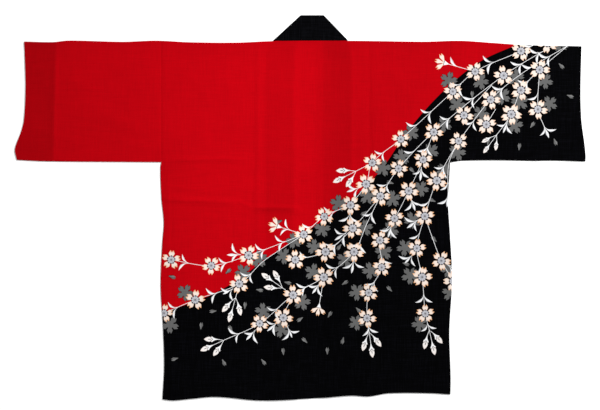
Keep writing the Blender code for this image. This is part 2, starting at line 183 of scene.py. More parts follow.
# Finer creases that only the cloth has: sharp fold marks, puckers at seams, soft waves
FINE_CREASES = table(
    Crease,
    (-0.3, 0.357, -0.16, 0.36, 0.003, 0.0013), (-0.14, 0.36, -0.11, 0.374, 0.003, 0.0008),
    (-0.1, 0.3745, -0.01, 0.3755, 0.0034, 0.0018), (-0.285, 0.267, -0.14, 0.266, 0.003, 0.0008),
    (-0.29, 0.308, -0.2, 0.293, 0.004, 0.0007), (-0.095, 0.02, -0.095, 0.43, 0.0035, 0.0005),
    (0.1555, 0.02, 0.1565, 0.33, 0.003, -0.0009), (-0.301, 0.3, -0.3, 0.6, 0.0022, -0.0007),
    (-0.29, 0.34, -0.289, 0.62, 0.003, -0.0005), (-0.55, 0.012, -0.553, 0.262, 0.0024, 0.0006),
    (0.564, 0.02, 0.566, 0.262, 0.0016, -0.0006), (-0.285, 0.33, -0.2, 0.336, 0.005, 0.0005),
    (-0.24, 0.395, -0.13, 0.402, 0.006, 0.0005), (-0.3, 0.47, -0.21, 0.43, 0.008, 0.0006),
    (-0.25, 0.07, -0.2, 0.15, 0.012, 0.0005), (-0.17, 0.05, -0.15, 0.2, 0.01, 0.0004),
    (0.2, 0.06, 0.26, 0.14, 0.012, 0.0006), (-0.52, 0.09, -0.44, 0.12, 0.01, 0.0006),
    (-0.4, 0.23, -0.33, 0.245, 0.008, 0.0006), (-0.59, 0.2, -0.5, 0.225, 0.008, 0.0006),
    (-0.38, 0.11, -0.33, 0.095, 0.009, 0.0005), (0.52, 0.09, 0.59, 0.13, 0.01, 0.0006),
    (0.44, 0.225, 0.54, 0.236, 0.008, 0.0006), (-0.23, 0.7, -0.12, 0.69, 0.01, 0.0006),
    (0.06, 0.64, 0.11, 0.76, 0.009, 0.0006), (0.2, 0.62, 0.31, 0.65, 0.012, 0.0007),
    (-0.3, 0.745, -0.2, 0.76, 0.009, 0.0005), (0.22, 0.73, 0.33, 0.715, 0.009, 0.0005),
)


def length_property(name, description, value, low, high):
    return bpy.props.FloatProperty(
        name=name, description=description, default=value, min=low, max=high, precision=5, unit="LENGTH",
    )


def colour_property(name, description, value):
    return bpy.props.FloatVectorProperty(
        name=name, description=description, subtype="COLOR", size=3, min=0, max=1, default=value,
    )


class CoatSizes(bpy.types.PropertyGroup):
    """Sizes of the cloth and its sewing."""

    cloth: length_property("Cloth", "Thickness of the printed cotton", 0.0006, 0.0002, 0.002)
    band: length_property("Collar", "Thickness of the doubled collar", 0.0016, 0.0005, 0.004)
    unevenness: length_property("Unevenness", "Height of the slow waves in the cloth", 0.00028, 0, 0.001)
    weave: length_property("Weave", "Distance between two threads", 0.0008, 0.0003, 0.003)
    stitch: length_property("Stitch", "Length of one stitch", 0.0028, 0.001, 0.01)
    thread: length_property("Thread", "Thickness of the thread", 0.00045, 0.0002, 0.002)
    hem: length_property("Hem", "Width of the turned bottom hem", 0.022, 0.005, 0.05)
    crease: bpy.props.FloatProperty(
        name="Creases", description="Strength of the finer creases", default=1.0, min=0, max=2,
    )


class CoatColours(bpy.types.PropertyGroup):
    """Colours of the cloth and its print."""

    red: colour_property("Red", "Ground above the boundary", (0.352, 0.0002, 0.0028))
    black: colour_property("Black", "Ground below the boundary", (0.0004, 0.0004, 0.0006))
    collar: colour_property("Collar", "Plain cloth of the collar", (0.0005, 0.0005, 0.0007))
    petal: colour_property("Petal", "Blossoms", (0.66, 0.565, 0.50))
    tip: colour_property("Petal tips", "Edges and tips of the petals", (0.60, 0.265, 0.085))
    middle: colour_property("Middle", "Disc in the middle of a blossom", (0.42, 0.42, 0.45))
    pen: colour_property("Pen", "Lines in the middle of a blossom", (0.020, 0.020, 0.030))
    leaf: colour_property("Leaf", "Leaves and stems", (0.70, 0.70, 0.705))
    shade: colour_property("Leaf shade", "Shaded half of a leaf", (0.27, 0.28, 0.31))
    shadow: colour_property("Shadow blossoms", "Grey blossoms behind", (0.094, 0.094, 0.093))
    red_thread: colour_property("Red thread", "Stitches on the left cuff", (0.25, 0.001, 0.004))
    black_thread: colour_property("Black thread", "All other stitches", (0.002, 0.002, 0.0024))


class CoatStage(bpy.types.PropertyGroup):
    """Floor, light and camera."""

    floor: colour_property("Floor", "Pale floor", (0.86, 0.86, 0.86))
    frame_width: length_property("Frame width", "Width that the picture takes in", 1.35, 0.5, 5)
    key: bpy.props.FloatProperty(
        name="Key light", description="Power of the large light", default=121.0, unit="POWER",
    )
    ambient: bpy.props.FloatProperty(
        name="Ambient", description="Strength of the even light", default=0.64, min=0,
    )
    lens: bpy.props.FloatProperty(
        name="Lens", description="Focal length", default=60.0, unit="CAMERA",
    )


# Small sums


def mix(start, end, part):
    return start + (end - start) * part


def soft_step(part):
    part = np.clip(part, 0.0, 1.0)
    return part * part * (3 - 2 * part)


def on_curve(rows, at, column=1):
    """Values of a column on the smooth curve through the rows, at many places."""
    numbers = np.array(rows)
    keys, values = numbers[:, 0], numbers[:, column]
    slopes = np.empty_like(values)
    slopes[1:-1] = (values[2:] - values[:-2]) / (keys[2:] - keys[:-2])
    slopes[0] = (values[1] - values[0]) / (keys[1] - keys[0])
    slopes[-1] = (values[-1] - values[-2]) / (keys[-1] - keys[-2])
    at = np.clip(at, keys[0], keys[-1])
    first = np.clip(np.searchsorted(keys, at, side="right") - 1, 0, len(keys) - 2)
    length = keys[first + 1] - keys[first]
    t = (at - keys[first]) / length
    return (
        (2 * t**3 - 3 * t**2 + 1) * values[first]
        + (t**3 - 2 * t**2 + t) * length * slopes[first]
        + (3 * t**2 - 2 * t**3) * values[first + 1]
        + (t**3 - t**2) * length * slopes[first + 1]
    )


# The lay of the cloth


def in_body(x):
    return (x > LEFT_SEAM) & (x < RIGHT_SEAM)


def in_strip(strip, x, drop):
    """How far places lie inside one of the collar's front strips, below zero outside it."""
    sewn, free = on_curve(strip, drop, 1), on_curve(strip, drop, 2)
    return np.minimum(x - np.minimum(sewn, free), np.maximum(sewn, free) - x)


def from_side(x, drop):
    """Distance of places on the body to its nearer side edge."""
    return np.minimum(x - on_curve(LEFT_SIDE, drop), on_curve(RIGHT_SIDE, drop) - x)


def edge_distance(x, drop):
    """Distance from places on the coat to the nearest folded or seamed edge of its outline."""
    from_shoulder = drop - on_curve(SHOULDER_LINE, x)
    sleeve = np.minimum(from_shoulder, on_curve(SLEEVE_BOTTOM, x) - drop)
    aside = np.minimum(x - LEFT_SEAM, RIGHT_SEAM - x)
    above = np.minimum(from_shoulder, np.hypot(aside, SLEEVE_DROP - drop))
    body = np.where(drop < SLEEVE_DROP, above, from_side(x, drop))
    return np.where(aside > -SEAM_GAP, body, sleeve)


def crease_height(crease, x, drop):
    """Height that one crease adds: a soft ridge or trough that fades out at its ends."""
    along = np.array((crease.x1 - crease.x0, crease.drop1 - crease.drop0))
    length = np.hypot(*along)
    along /= length
    far = (x - crease.x0) * along[0] + (drop - crease.drop0) * along[1]
    aside = (drop - crease.drop0) * along[0] - (x - crease.x0) * along[1]
    part = far / length
    start = (part + CREASE_TAIL) / (2 * CREASE_TAIL)
    end = (1 + CREASE_TAIL - part) / (2 * CREASE_TAIL)
    return crease.height * np.exp(-(aside / crease.width)**2) * soft_step(start) * soft_step(end)


def over_strips(x, drop):
    """Rise of the back over the collar's front strips and its sag between them."""
    inside = (in_strip(strip, x, drop) for strip in (LEFT_STRIP, RIGHT_STRIP))
    height = STRIP_BUMP * sum(soft_step((far + STRIP_LEAD) / STRIP_SOFT) for far in inside)
    between = np.minimum(x - on_curve(LEFT_STRIP, drop, 2), on_curve(RIGHT_STRIP, drop, 2) - x)
    return height + GAP_SAG * soft_step((between - STRIP_SOFT / 2) / STRIP_SOFT)


def slow_waves(x, drop):
    """Uneven lie of the cloth: a few long waves that cross, from -1 to 1."""
    turn = 2 * math.pi
    return (
        np.sin(turn * (x / 0.131 + drop / 0.310) + 0.7) * np.sin(turn * (drop / 0.117 - x / 0.420))
        + 0.6 * np.sin(turn * (x / 0.067 - drop / 0.210) + 2.1) * np.sin(turn * drop / 0.083 + 1.3)
        + 0.35 * np.sin(turn * (x / 0.043 + drop / 0.057) + 4.0) * np.sin(turn * (x / 0.19 - drop / 0.039))
    ) / 1.95


def upper_height(x, drop):
    """Height of the middle of the upper cloth, level along the edges but for the dips at its seams."""
    sizes = bpy.context.scene.coat_sizes
    relief = sum(crease_height(crease, x, drop) for crease in CREASES)
    relief = relief + sizes.crease * sum(crease_height(crease, x, drop) for crease in FINE_CREASES)
    relief = relief + in_body(x) * over_strips(x, drop) + sizes.unevenness * slow_waves(x, drop)
    near = np.minimum(abs(x - LEFT_SEAM), abs(x - RIGHT_SEAM)) / SEAM_DIP_WIDTH
    dip = SEAM_DIP * np.exp(-near * near) * (drop < SLEEVE_DROP)
    return UPPER_LAYER + relief * soft_step(edge_distance(x, drop) / CREASE_FADE) - dip


def place(x, drop, z):
    return np.stack(np.broadcast_arrays(x, LAID_MIDDLE - drop, z), axis=-1)


def even_stops(start, end, cell):
    """Stops from start to end about a cell apart, without the last."""
    count = max(1, round(abs(end - start) / cell))
    return np.linspace(start, end, count + 1)[:-1]


def edge_roll(rolled):
    """Inset and turn of the points in an edge, for each part from 0 to 1 that it is rolled in."""
    angle = np.linspace(0, math.pi / 2, ROLL_CELLS + 1)
    inset = ROLL * (1 - np.sin(angle)) + mix(SEAM_GAP, SOLID_CLOTH, rolled)[:, None] / 2
    return inset, (ROLL - SEAM_GAP / 2) * (1 - np.cos(angle)) * rolled[:, None]


def panel_grid(*sides):
    """Points of a panel of the body, from its shoulder edge to its hem.

    The back has both side seams, left (-1) and right (1). A front has one, and its other edge is
    sewn to the collar's strip.
    """
    back = len(sides) == 2
    cell = CLOTH_CELL if back else UNDER_CELL
    drops = np.concatenate((
        even_stops(0.0, SLEEVE_DROP, cell), even_stops(SLEEVE_DROP, BODY_LENGTH, cell), [BODY_LENGTH],
    ))
    inset, turn = edge_roll(soft_step((drops - SLEEVE_DROP) / TURN_LENGTH))
    rims = []
    for side, line, other_strip in ((-1, LEFT_SIDE, RIGHT_STRIP), (1, RIGHT_SIDE, LEFT_STRIP)):
        if side in sides:
            edge = on_curve(line, drops)[:, None]
            rims.append(((edge - side * inset)[:, ::side], turn[:, ::side]))
        else:
            edge = on_curve(other_strip, drops) - side * SEAM_GAP / 2
            rims.append((edge[:, None], np.zeros((len(drops), 1))))
    (left, left_turn), (right, right_turn) = rims
    count = round((RIGHT_SEAM - LEFT_SEAM) / (1.0 if back else FRONTS_IN_BACK) / cell)
    between = np.linspace(left[:, -1], right[:, 0], count + 1, axis=1)[:, 1:-1]
    xs = np.hstack((left, between, right))
    turns = np.hstack((left_turn, np.zeros_like(between), right_turn))
    hem = on_curve(HEM, xs) - (0.0 if back else HEM_TUCK)
    places = mix(on_curve(SHOULDER_LINE, xs), hem, (drops / BODY_LENGTH)[:, None])

    # The shoulder edge is rolled too, but not at the open neck of the back
    rolled = np.ones(xs.shape[1])
    if back:
        inside = np.minimum(xs[0] - LEFT_STRIP[0].sewn, RIGHT_STRIP[0].sewn - xs[0])
        rolled = 1 - soft_step(inside / TURN_LENGTH)
    inset, turn = (rim.T[::-1] for rim in edge_roll(rolled))
    xs = np.vstack((xs[[0] * ROLL_CELLS], xs))
    places = np.vstack((places[0] + inset, places[1:]))
    turns = np.vstack((turns[0] + turn, turns[1:]))
    return place(xs, places, upper_height(xs, places) - turns if back else LOWER_LAYER + turns)


def half_round(drop, reach):
    """Drops and heights of the points round a folded edge of a sleeve."""
    angle = np.linspace(0, math.pi, 2 * ROLL_CELLS + 1)[:-1]
    return drop + reach * np.sin(angle), LOWER_LAYER + ROLL - reach * np.cos(angle)


def sleeve_grid(seam, cuff_line):
    """Points of a sleeve: rows run round it, from one end to the other in rising x."""
    side = 1 if seam > 0 else -1
    start = seam + side * SEAM_GAP / 2
    length = abs(cuff_line[0].x - start)
    parts = np.append(SEAM_ROWS, np.linspace(CLOTH_CELL, length, round(length / CLOTH_CELL))) / length
    rows = []
    for part in parts:
        middle = mix(start, cuff_line[0].x, part)
        upper_end = on_curve(SHOULDER_LINE, middle) + ROLL + SOLID_CLOTH / 2
        lower_end = on_curve(SLEEVE_BOTTOM, middle) - ROLL - SOLID_CLOTH / 2
        upper = np.linspace(lower_end, upper_end, round(SLEEVE_DROP / CLOTH_CELL) + 1)[:-1]
        lower = np.linspace(upper_end, lower_end, round(SLEEVE_DROP / UNDER_CELL) + 1)[:-1]
        fold, fold_z = half_round(upper_end, -ROLL)
        seam_round, seam_z = half_round(lower_end, ROLL)
        drops = np.concatenate((upper, fold, lower, seam_round))
        x = mix(start, on_curve(cuff_line, drops), part)
        upper_z = upper_height(x[:len(upper)], upper)
        zs = np.concatenate((upper_z, fold_z, np.full(len(lower), LOWER_LAYER), seam_z))
        rows.append(place(x, drops, zs))
    return np.array(rows)[::side]


def collar_fold(sewn_x, top_x):
    """Sewn and free ends of the stations of one flat fold, from the lower layer to the upper."""
    sewn_drop = on_curve(SHOULDER_LINE, sewn_x) - NECK_FOLD_RISE
    corners = np.array(((sewn_x, sewn_drop), (top_x, -COLLAR_RISE)))
    along = corners[1] - corners[0]
    inward = np.array((-along[1], along[0])) / np.hypot(*along)
    inward *= np.sign(inward[1])
    angle = np.linspace(0, math.pi, 2 * ROLL_CELLS + 1)[:, None]
    shift = SOLID_BAND / 2 + BAND_ROLL * (1 - np.sin(angle))
    ends = corners + shift[..., None] * inward
    return place(ends[..., 0], ends[..., 1], SOLID_BAND / 2 + BAND_ROLL * (1 - np.cos(angle)))


def collar_strip(strip, side):
    """Sewn and free ends of the stations of one front strip, from the hem up to the neck."""
    drops, z = even_stops(BODY_LENGTH, 0.0, CLOTH_CELL), SOLID_BAND / 2
    sewn, free = on_curve(strip, drops) - side * SEAM_GAP / 2, on_curve(strip, drops, 2)
    at = mix(on_curve(SHOULDER_LINE, sewn), on_curve(HEM, sewn) - HEM_TUCK, drops / BODY_LENGTH)
    stations = np.stack((place(sewn, at, z), place(free, at, z)), axis=1)
    sewn_end = place(strip[0].sewn - side * SEAM_GAP / 2, ROLL + SOLID_CLOTH / 2, z)
    return np.append(stations, [[sewn_end, place(strip[0].free, -FREE_TURN, z)]], axis=0)


def collar_grid():
    """Points of the collar band, from one hem round the neck to the other."""
    left, right = LEFT_STRIP[0].sewn, RIGHT_STRIP[0].sewn
    parts = np.linspace(0, 1, round((right - left) / CLOTH_CELL) + 1)[1:-1]
    x = mix(left, right, parts)
    level = soft_step(np.minimum(x - left, right - x) / (3 * TURN_LENGTH))
    rise = SEAM_GAP / 2 + NECK_FOLD_RISE * (1 - level) / 2
    sewn = place(x, on_curve(SHOULDER_LINE, x) - rise, UPPER_BAND)
    free = place(mix(LEFT_TOP_CORNER, RIGHT_TOP_CORNER, parts), -COLLAR_RISE, UPPER_BAND)
    ends = np.concatenate((
        collar_strip(LEFT_STRIP, -1), collar_fold(left, LEFT_TOP_CORNER),
        np.stack((sewn, free), axis=1),
        collar_fold(right, RIGHT_TOP_CORNER)[::-1], collar_strip(RIGHT_STRIP, 1)[::-1],
    ))
    width_parts = np.linspace(0, 1, round(COLLAR_RISE / CLOTH_CELL) + 1)
    return mix(ends[:, None, 0], ends[:, None, 1], width_parts[None, :, None])


# The print: branches of cherry blossom over a red ground and a black one

# Drop of the boundary between red, above it, and black
GROUND_EDGE = table(
    Across,
    (-0.33, 0.617), (-0.214, 0.577), (-0.146, 0.541), (-0.085, 0.496), (0.0, 0.438), (0.08, 0.384),
    (0.14, 0.334), (0.192, 0.276), (0.236, 0.21), (0.292, 0.143), (0.35, 0.087), (0.405, 0.046),
    (0.472, 0.015), (0.53, -0.006),
)

# Painted light: brightness of the red by x, standing in for the fall of the light across the coat
PaintedLight = namedtuple("PaintedLight", "x bright")
PAINTED_LIGHT_ACROSS = table(
    PaintedLight,
    (-0.64, 0.84), (-0.55, 0.87), (-0.46, 0.925), (-0.35, 0.955), (-0.25, 1.0), (-0.16, 1.03),
    (0.0, 1.04), (0.14, 0.89), (0.4, 0.87),
)

# Painted shade: stretches that are darker by their height, and painted light where it is below zero:
# shade below the neck, at the left shoulder, under a deep crease and on both sides of the left strip,
# light low on the body
PAINTED_SHADE_AND_LIGHT = table(
    Crease,
    (-0.055, 0.004, 0.1, 0.004, 0.045, 0.042), (-0.26, 0.006, -0.08, 0.006, 0.033, 0.045),
    (-0.095, 0.3795, -0.015, 0.3805, 0.0065, 0.12), (-0.26, 0.335, -0.1, 0.335, 0.13, -0.045),
    (-0.09, 0.05, -0.091, 0.43, 0.0065, 0.026), (-0.023, 0.05, -0.023, 0.4, 0.007, 0.018),
)
# Painted shade: the cloth is darker over the collar's front strips, at the shoulder line, at the side
# seams and on the left cuff's hem
STRIP_SHADES = ((LEFT_STRIP, 0.08, 0.8), (RIGHT_STRIP, 0.11, 0.5))    # how much, and from how far out
STRIP_FADE = 0.009
SHOULDER_SHADE = 0.06       # how much darker the cloth is at the shoulder line
SHOULDER_FADE = 0.028
SIDE_SHADE = 0.08           # how much darker it is at the side seams
SIDE_FADE = 0.012
CUFF_SHADE = 0.12           # how much darker the left cuff's hem is
CUFF_FADE = 0.006

# Each branch runs through its stops, from the sleeve downwards, with a blossom at all but the
# first bare ones. It ends in buds, a half open blossom, leaves or nothing.
Branch = namedtuple("Branch", "bare ending stops")
BRANCHES = table(
    Branch,
    (1, "none", ((0.568, -0.012), (0.496, 0.023), (0.393, 0.069), (0.343, 0.114), (0.226, 0.221),
        (0.162, 0.274), (0.148, 0.322), (0.113, 0.369))),
    (1, "none", ((0.113, 0.369), (0.054, 0.395), (0.008, 0.435))),
    (3, "none", ((0.008, 0.435), (-0.04, 0.466), (-0.085, 0.497), (-0.137, 0.546), (-0.236, 0.582),
        (-0.306, 0.612))),
    (1, "none", ((0.008, 0.435), (-0.116, 0.482), (-0.2, 0.505), (-0.29, 0.492))),
    (1, "none", ((0.595, -0.005), (0.457, 0.078), (0.3, 0.205), (0.221, 0.287), (0.18, 0.349))),
    (2, "buds", ((0.18, 0.349), (0.15, 0.41), (0.121, 0.474), (0.053, 0.531), (-0.016, 0.571),
        (-0.091, 0.635), (-0.172, 0.673))),
    (1, "none", ((0.18, 0.349), (0.118, 0.421), (0.057, 0.474), (-0.011, 0.492))),
    (2, "none", ((0.606, 0.008), (0.5, 0.072), (0.428, 0.132), (0.356, 0.225))),
    (1, "buds", ((0.356, 0.225), (0.307, 0.314), (0.28, 0.394), (0.262, 0.466), (0.274, 0.531),
        (0.281, 0.613), (0.29, 0.65))),
    (1, "buds", ((0.3, 0.205), (0.276, 0.267), (0.244, 0.337), (0.212, 0.399), (0.179, 0.448),
        (0.183, 0.509), (0.154, 0.566), (0.15, 0.623), (0.155, 0.655))),
    (1, "buds", ((0.6, 0.012), (0.538, 0.065), (0.496, 0.111), (0.474, 0.165), (0.441, 0.212))),
    (1, "leaves", ((0.538, 0.065), (0.534, 0.154), (0.547, 0.19))),
    (2, "none", ((0.28, 0.394), (0.296, 0.44), (0.317, 0.494), (0.344, 0.54))),
    (3, "leaves", ((0.356, 0.225), (0.334, 0.275), (0.332, 0.345))),
    (1, "none", ((0.43, 0.1), (0.368, 0.167))),
    (1, "none", ((0.59, -0.01), (0.556, 0.004))),
    (1, "none", ((0.44, 0.152), (0.418, 0.188))),
    (1, "leaves", ((-0.016, 0.571), (-0.038, 0.622), (-0.028, 0.644))),
    (1, "half", ((0.053, 0.531), (0.042, 0.598))),
    (1, "buds", ((-0.137, 0.547), (-0.145, 0.577))),
    (1, "buds", ((-0.016, 0.571), (-0.04, 0.555))),
    (1, "half", ((0.008, 0.435), (-0.05, 0.417))),
    (1, "half", ((0.393, 0.069), (0.325, 0.05))),
    (1, "buds", ((0.162, 0.274), (0.125, 0.293))),
)
BLOSSOM = 0.0223            # radius of a blossom
STEM = 0.00052              # half the width of a stem
LEAF = 0.029                # length of a leaf
BUD = 0.030                 # length of a bud
BUD_TWIG = 0.016            # length of a bud's twig
SLEEVE_BUDS = 0.75          # size of the buds on the sleeve against the others
PETAL = 0.0165              # length of a loose petal
LOOSE_PETALS = 36
SEED = 41                   # of every chance in the print
STEM_STEP = 0.006           # between two points of a stem
TWIG_STEP = 0.004           # between two points of a bud's twig
STEM_ROOM = 0.008           # between two stems that share no cells
STEM_OVERLAP = 0.0004       # between two stretches of a stem
FAN_CHANCE = 0.34           # that a fan of leaves grows beside a blossom
FAN_TURNS = (-0.85, 0.0, 0.85)
FAN_BEND = 0.21
SPRAY = ((-0.66, 0.75), (0.02, 1.7), (0.60, 0.9))   # turn and length of each twig in a spray of buds
PAIR_GAP = 0.058            # least distance between blossoms with a pair of leaves between them
TWO_PAIRS_GAP = 0.12        # the same for two pairs of leaves
PAIR_CHANCE = 0.8           # that leaves grow on both sides and not on one
LEAF_ROOM = 0.022           # least distance between two pairs or fans of leaves
SHADOW_TRIES = 14           # places tried for each shadow
SHADOW_REACH = (0.022, 0.029)   # least and most distance from a blossom to its shadow
SHADOW_ROOM = 0.042         # wanted distance between two shadows
BLOSSOM_ROOM = 0.026        # wanted distance from a shadow to other blossoms
LEAST_ROOM = 0.90           # part of the wanted distances that is enough
MORE_ROOM = 0.02            # how much more of them makes a place better
SHADOW_ABOVE = 0.03         # how far above the boundary a shadow can lie
PETAL_ROOM = 0.033          # least distance from a loose petal to a blossom or a shadow
PETAL_GAP = 0.05            # least distance between two loose petals
PETAL_X = (-0.30, 0.60)     # x between which loose petals are tried
PETAL_DROP = (0.03, 0.72)   # the same for their drop
PETALS_ABOVE = 3            # how many of them lie above the boundary
EDGE_ROOM = 0.02            # their least distance to the sleeve's lower edge and the body's right edge
GOLD_END = 0.34             # x beyond which the petals are less golden
SHADOW_WIDER = 0.01         # how much wider a shadow's petals are
PETAL_TURN = math.pi / 5    # from a petal's middle to its edge
MOTIF_REACH = 1.7           # how far out a motif can go, in its own measure
FAR = (9.0, 9.0, 0.0)       # stored where a layer of the print has nothing
FULL, CLOSED, HALF, SINGLE = 0.0, 2.0, 4.0, 6.0     # kinds of bloom
SHADOWS = ("shadow_a", "shadow_b")
STEMS = ("stem_a", "stem_b", "stem_c")
LEAVES = ("leaf_a", "leaf_b", "leaf_c", "leaf_d")
BLOOMS = ("bloom_a", "bloom_b")
LAYERS = SHADOWS + STEMS + LEAVES + BLOOMS

# A motif's spine is a few points in its own measure, and its girth how far it reaches round them
Motif = namedtuple("Motif", "x drop angle size code spine girth")
ROUND = ((0.0, 0.0),)
UPRIGHT = ((0.0, 0.1), (0.0, 0.4), (0.0, 0.7), (0.0, 0.95))


def turned(angle, x, y):
    return x * math.cos(angle) - y * math.sin(angle), x * math.sin(angle) + y * math.cos(angle)


def way_between(start, end):
    return math.atan2(end[1] - start[1], end[0] - start[0])


def onward(x, drop, way, reach):
    """The place at the end of a reach in one direction."""
    return x + reach * math.cos(way), drop + reach * math.sin(way)


def smooth_line(stops, step):
    """Points about a step apart on the smooth curve through the stops."""
    stops = np.array(stops)
    reach = np.append(0.0, np.cumsum(np.hypot(*np.diff(stops, axis=0).T)))
    at = np.linspace(0, reach[-1], max(2, round(reach[-1] / step) + 1))
    return np.stack([on_curve(np.column_stack((reach, stops[:, k])), at) for k in (0, 1)], axis=1)


def spine_places(motif):
    """Where the points of a motif's spine lie on the cloth."""
    x, y = turned(motif.angle, *(motif.size * np.array(motif.spine).T))
    return np.stack((x + motif.x, y + motif.drop), axis=1)


def nearness(motif, other):
    """How much two motifs come in each other's way, above zero where they share cells."""
    gaps = spine_places(motif)[:, None] - spine_places(other)[None]
    clear = motif.girth * motif.size + other.girth * other.size + CLOTH_CELL
    return max(0.0, 1 - np.hypot(gaps[..., 0], gaps[..., 1]).min() / clear)


def nearest(x, drop, spots):
    """Distance from a place to the nearest of some spots."""
    return min((math.hypot(x - spot[0], drop - spot[1]) for spot in spots), default=1.0)


class PrintLayout:
    """Where every blossom, leaf and stem of the print lies, by layer."""

    def __init__(self):
        self.draw = np.random.default_rng(SEED)
        self.motifs = {layer: [] for layer in LAYERS}
        self.lines = {layer: [] for layer in STEMS}
        self.blossoms = []
        self.shadows = []
        self.joints = []
        for branch in BRANCHES:
            self.grow(branch)
        self.add_shadows()
        self.scatter_petals()

    def add(self, names, motif):
        """Add a motif to the layer where it is least in the way of others."""
        def crowding(name):
            return sum(nearness(motif, other) for other in self.motifs[name])
        self.motifs[min(names, key=crowding)].append(motif)

    def add_line(self, line):
        """Add a stem to the layer where it runs along others least."""
        def crowding(name):
            gaps = [line[:, None] - other[None] for other in self.lines[name]]
            return sum((np.hypot(*np.moveaxis(gap, -1, 0)).min(axis=1) < STEM_ROOM).sum() for gap in gaps)
        self.lines[min(STEMS, key=crowding)].append(line)

    def bloom(self, x, drop, angle, kind):
        tint = 0.9 if x < GOLD_END else 0.5
        size = BLOSSOM * self.draw.uniform(0.90, 1.07)
        if kind == FULL:
            self.blossoms.append((x, drop))
        self.add(BLOOMS, Motif(x, drop, angle, size, kind + tint, spine=ROUND, girth=1.05))

    def leaf(self, x, drop, angle, bend):
        size = LEAF * self.draw.uniform(0.85, 1.1)
        spine = [(u, bend * 4 * u * (1 - u)) for u in (0.0, 0.25, 0.5, 0.75, 1.0)]
        self.add(LEAVES, Motif(x, drop, angle, size, bend, spine, girth=0.14))

    def fan(self, x, drop, heading):
        """Three leaves that spread from one place."""
        self.joints.append((x, drop))
        for turn in FAN_TURNS:
            bend = -FAN_BEND * np.sign(turn) * self.draw.uniform(0.8, 1.2)
            self.leaf(x, drop, heading + turn + self.draw.uniform(-0.15, 0.15), bend)

    def bud_spray(self, x, drop, heading):
        small = SLEEVE_BUDS if x > RIGHT_SEAM else 1.0
        for turn, share in SPRAY:
            way = heading + turn
            end = onward(x, drop, way, BUD_TWIG * share)
            self.add_line(smooth_line(((x, drop), end), TWIG_STEP))
            angle = way - 0.25 * turn - math.pi / 2
            self.add(BLOOMS, Motif(*end, angle, small * BUD, CLOSED + 0.7, UPRIGHT, girth=0.24))

    def grow(self, branch):
        """One branch: its stem, its blossoms with their leaves, and its end."""
        stops, ending = branch.stops, branch.ending
        line = smooth_line(stops, STEM_STEP)
        self.add_line(line)
        last = len(stops) - (ending != "none")
        for k, (x, drop) in enumerate(stops):
            before, after = stops[max(k - 1, 0)], stops[min(k + 1, len(stops) - 1)]
            heading = way_between(before, after)
            if branch.bare <= k < last:
                self.bloom(x, drop, self.draw.uniform(0, math.tau), FULL)
                if self.draw.random() < FAN_CHANCE:
                    aside = heading + self.draw.uniform(-0.8, 0.8)
                    self.fan(*onward(x, drop, aside, 0.8 * BLOSSOM), aside)
            gap = math.hypot(after[0] - x, after[1] - drop) if k + 1 < len(stops) else 0.0
            if gap > PAIR_GAP or (ending == "buds" and branch.bare <= k == last - 1):
                self.leaf_pairs(line, (x, drop), after, 1 if gap < TWO_PAIRS_GAP else 2)
        x, drop = stops[-1]
        heading = way_between(*stops[-2:])
        if ending == "buds":
            self.bud_spray(x, drop, heading)
        elif ending == "half":
            self.bloom(x, drop, heading - math.pi / 2, HALF)
        elif ending == "leaves":
            self.fan(x, drop, heading)

    def leaf_pairs(self, line, start, end, count):
        """Leaves on both sides of a stem between two of its stops."""
        for k in range(count):
            part = (k + 1) / (count + 1) + self.draw.uniform(-0.04, 0.08)
            spot = (mix(start[0], end[0], part), mix(start[1], end[1], part))
            index = int(np.argmin(np.hypot(*(line - spot).T)))
            if nearest(*line[index], self.joints) < LEAF_ROOM:
                continue
            self.joints.append(tuple(line[index]))
            heading = way_between(line[max(index - 1, 0)], line[min(index + 1, len(line) - 1)])
            for side in (-1, 1) if self.draw.random() < PAIR_CHANCE else (1,):
                turn = side * self.draw.uniform(0.55, 0.9)
                self.leaf(*line[index], heading + turn, -side * self.draw.uniform(0.18, 0.26))

    def add_shadows(self):
        """A grey blossom behind most of the blossoms, clear of the others."""
        for x, drop in self.blossoms:
            best, best_room = None, LEAST_ROOM
            for k in range(SHADOW_TRIES):
                way, reach = self.draw.uniform(0, math.tau), self.draw.uniform(*SHADOW_REACH)
                spot = onward(x, drop, way, reach)
                past = spot[1] - float(on_curve(GROUND_EDGE, spot[0]))
                room = min(nearest(*spot, self.shadows) / SHADOW_ROOM,
                           nearest(*spot, self.blossoms) / BLOSSOM_ROOM, 1.0)
                if past > -SHADOW_ABOVE and room > best_room + MORE_ROOM:
                    best, best_room = spot, room
            if best:
                self.shadows.append(best)
                size, angle = BLOSSOM * self.draw.uniform(0.80, 0.91), self.draw.uniform(0, math.tau)
                self.add(SHADOWS, Motif(*best, angle, size, FULL, ROUND, girth=1.12))

    def scatter_petals(self):
        """Loose grey petals below the boundary, and a few above it."""
        spots = []
        while len(spots) < LOOSE_PETALS:
            x, drop = self.draw.uniform(*PETAL_X), self.draw.uniform(*PETAL_DROP)
            past = drop - float(on_curve(GROUND_EDGE, x))
            if len(spots) < PETALS_ABOVE:
                wanted = -0.08 < past < -0.03 and x < 0.1
            else:
                wanted = 0.03 < past < 0.33
            in_cloth = drop < SLEEVE_DROP - EDGE_ROOM or x < RIGHT_SEAM - EDGE_ROOM
            clear = nearest(x, drop, self.blossoms + self.shadows) > PETAL_ROOM
            if wanted and in_cloth and clear and nearest(x, drop, spots) > PETAL_GAP:
                spots.append((x, drop))
                angle = self.draw.uniform(0, math.tau)
                self.add(SHADOWS, Motif(x, drop, angle, PETAL, SINGLE, UPRIGHT, girth=0.30))


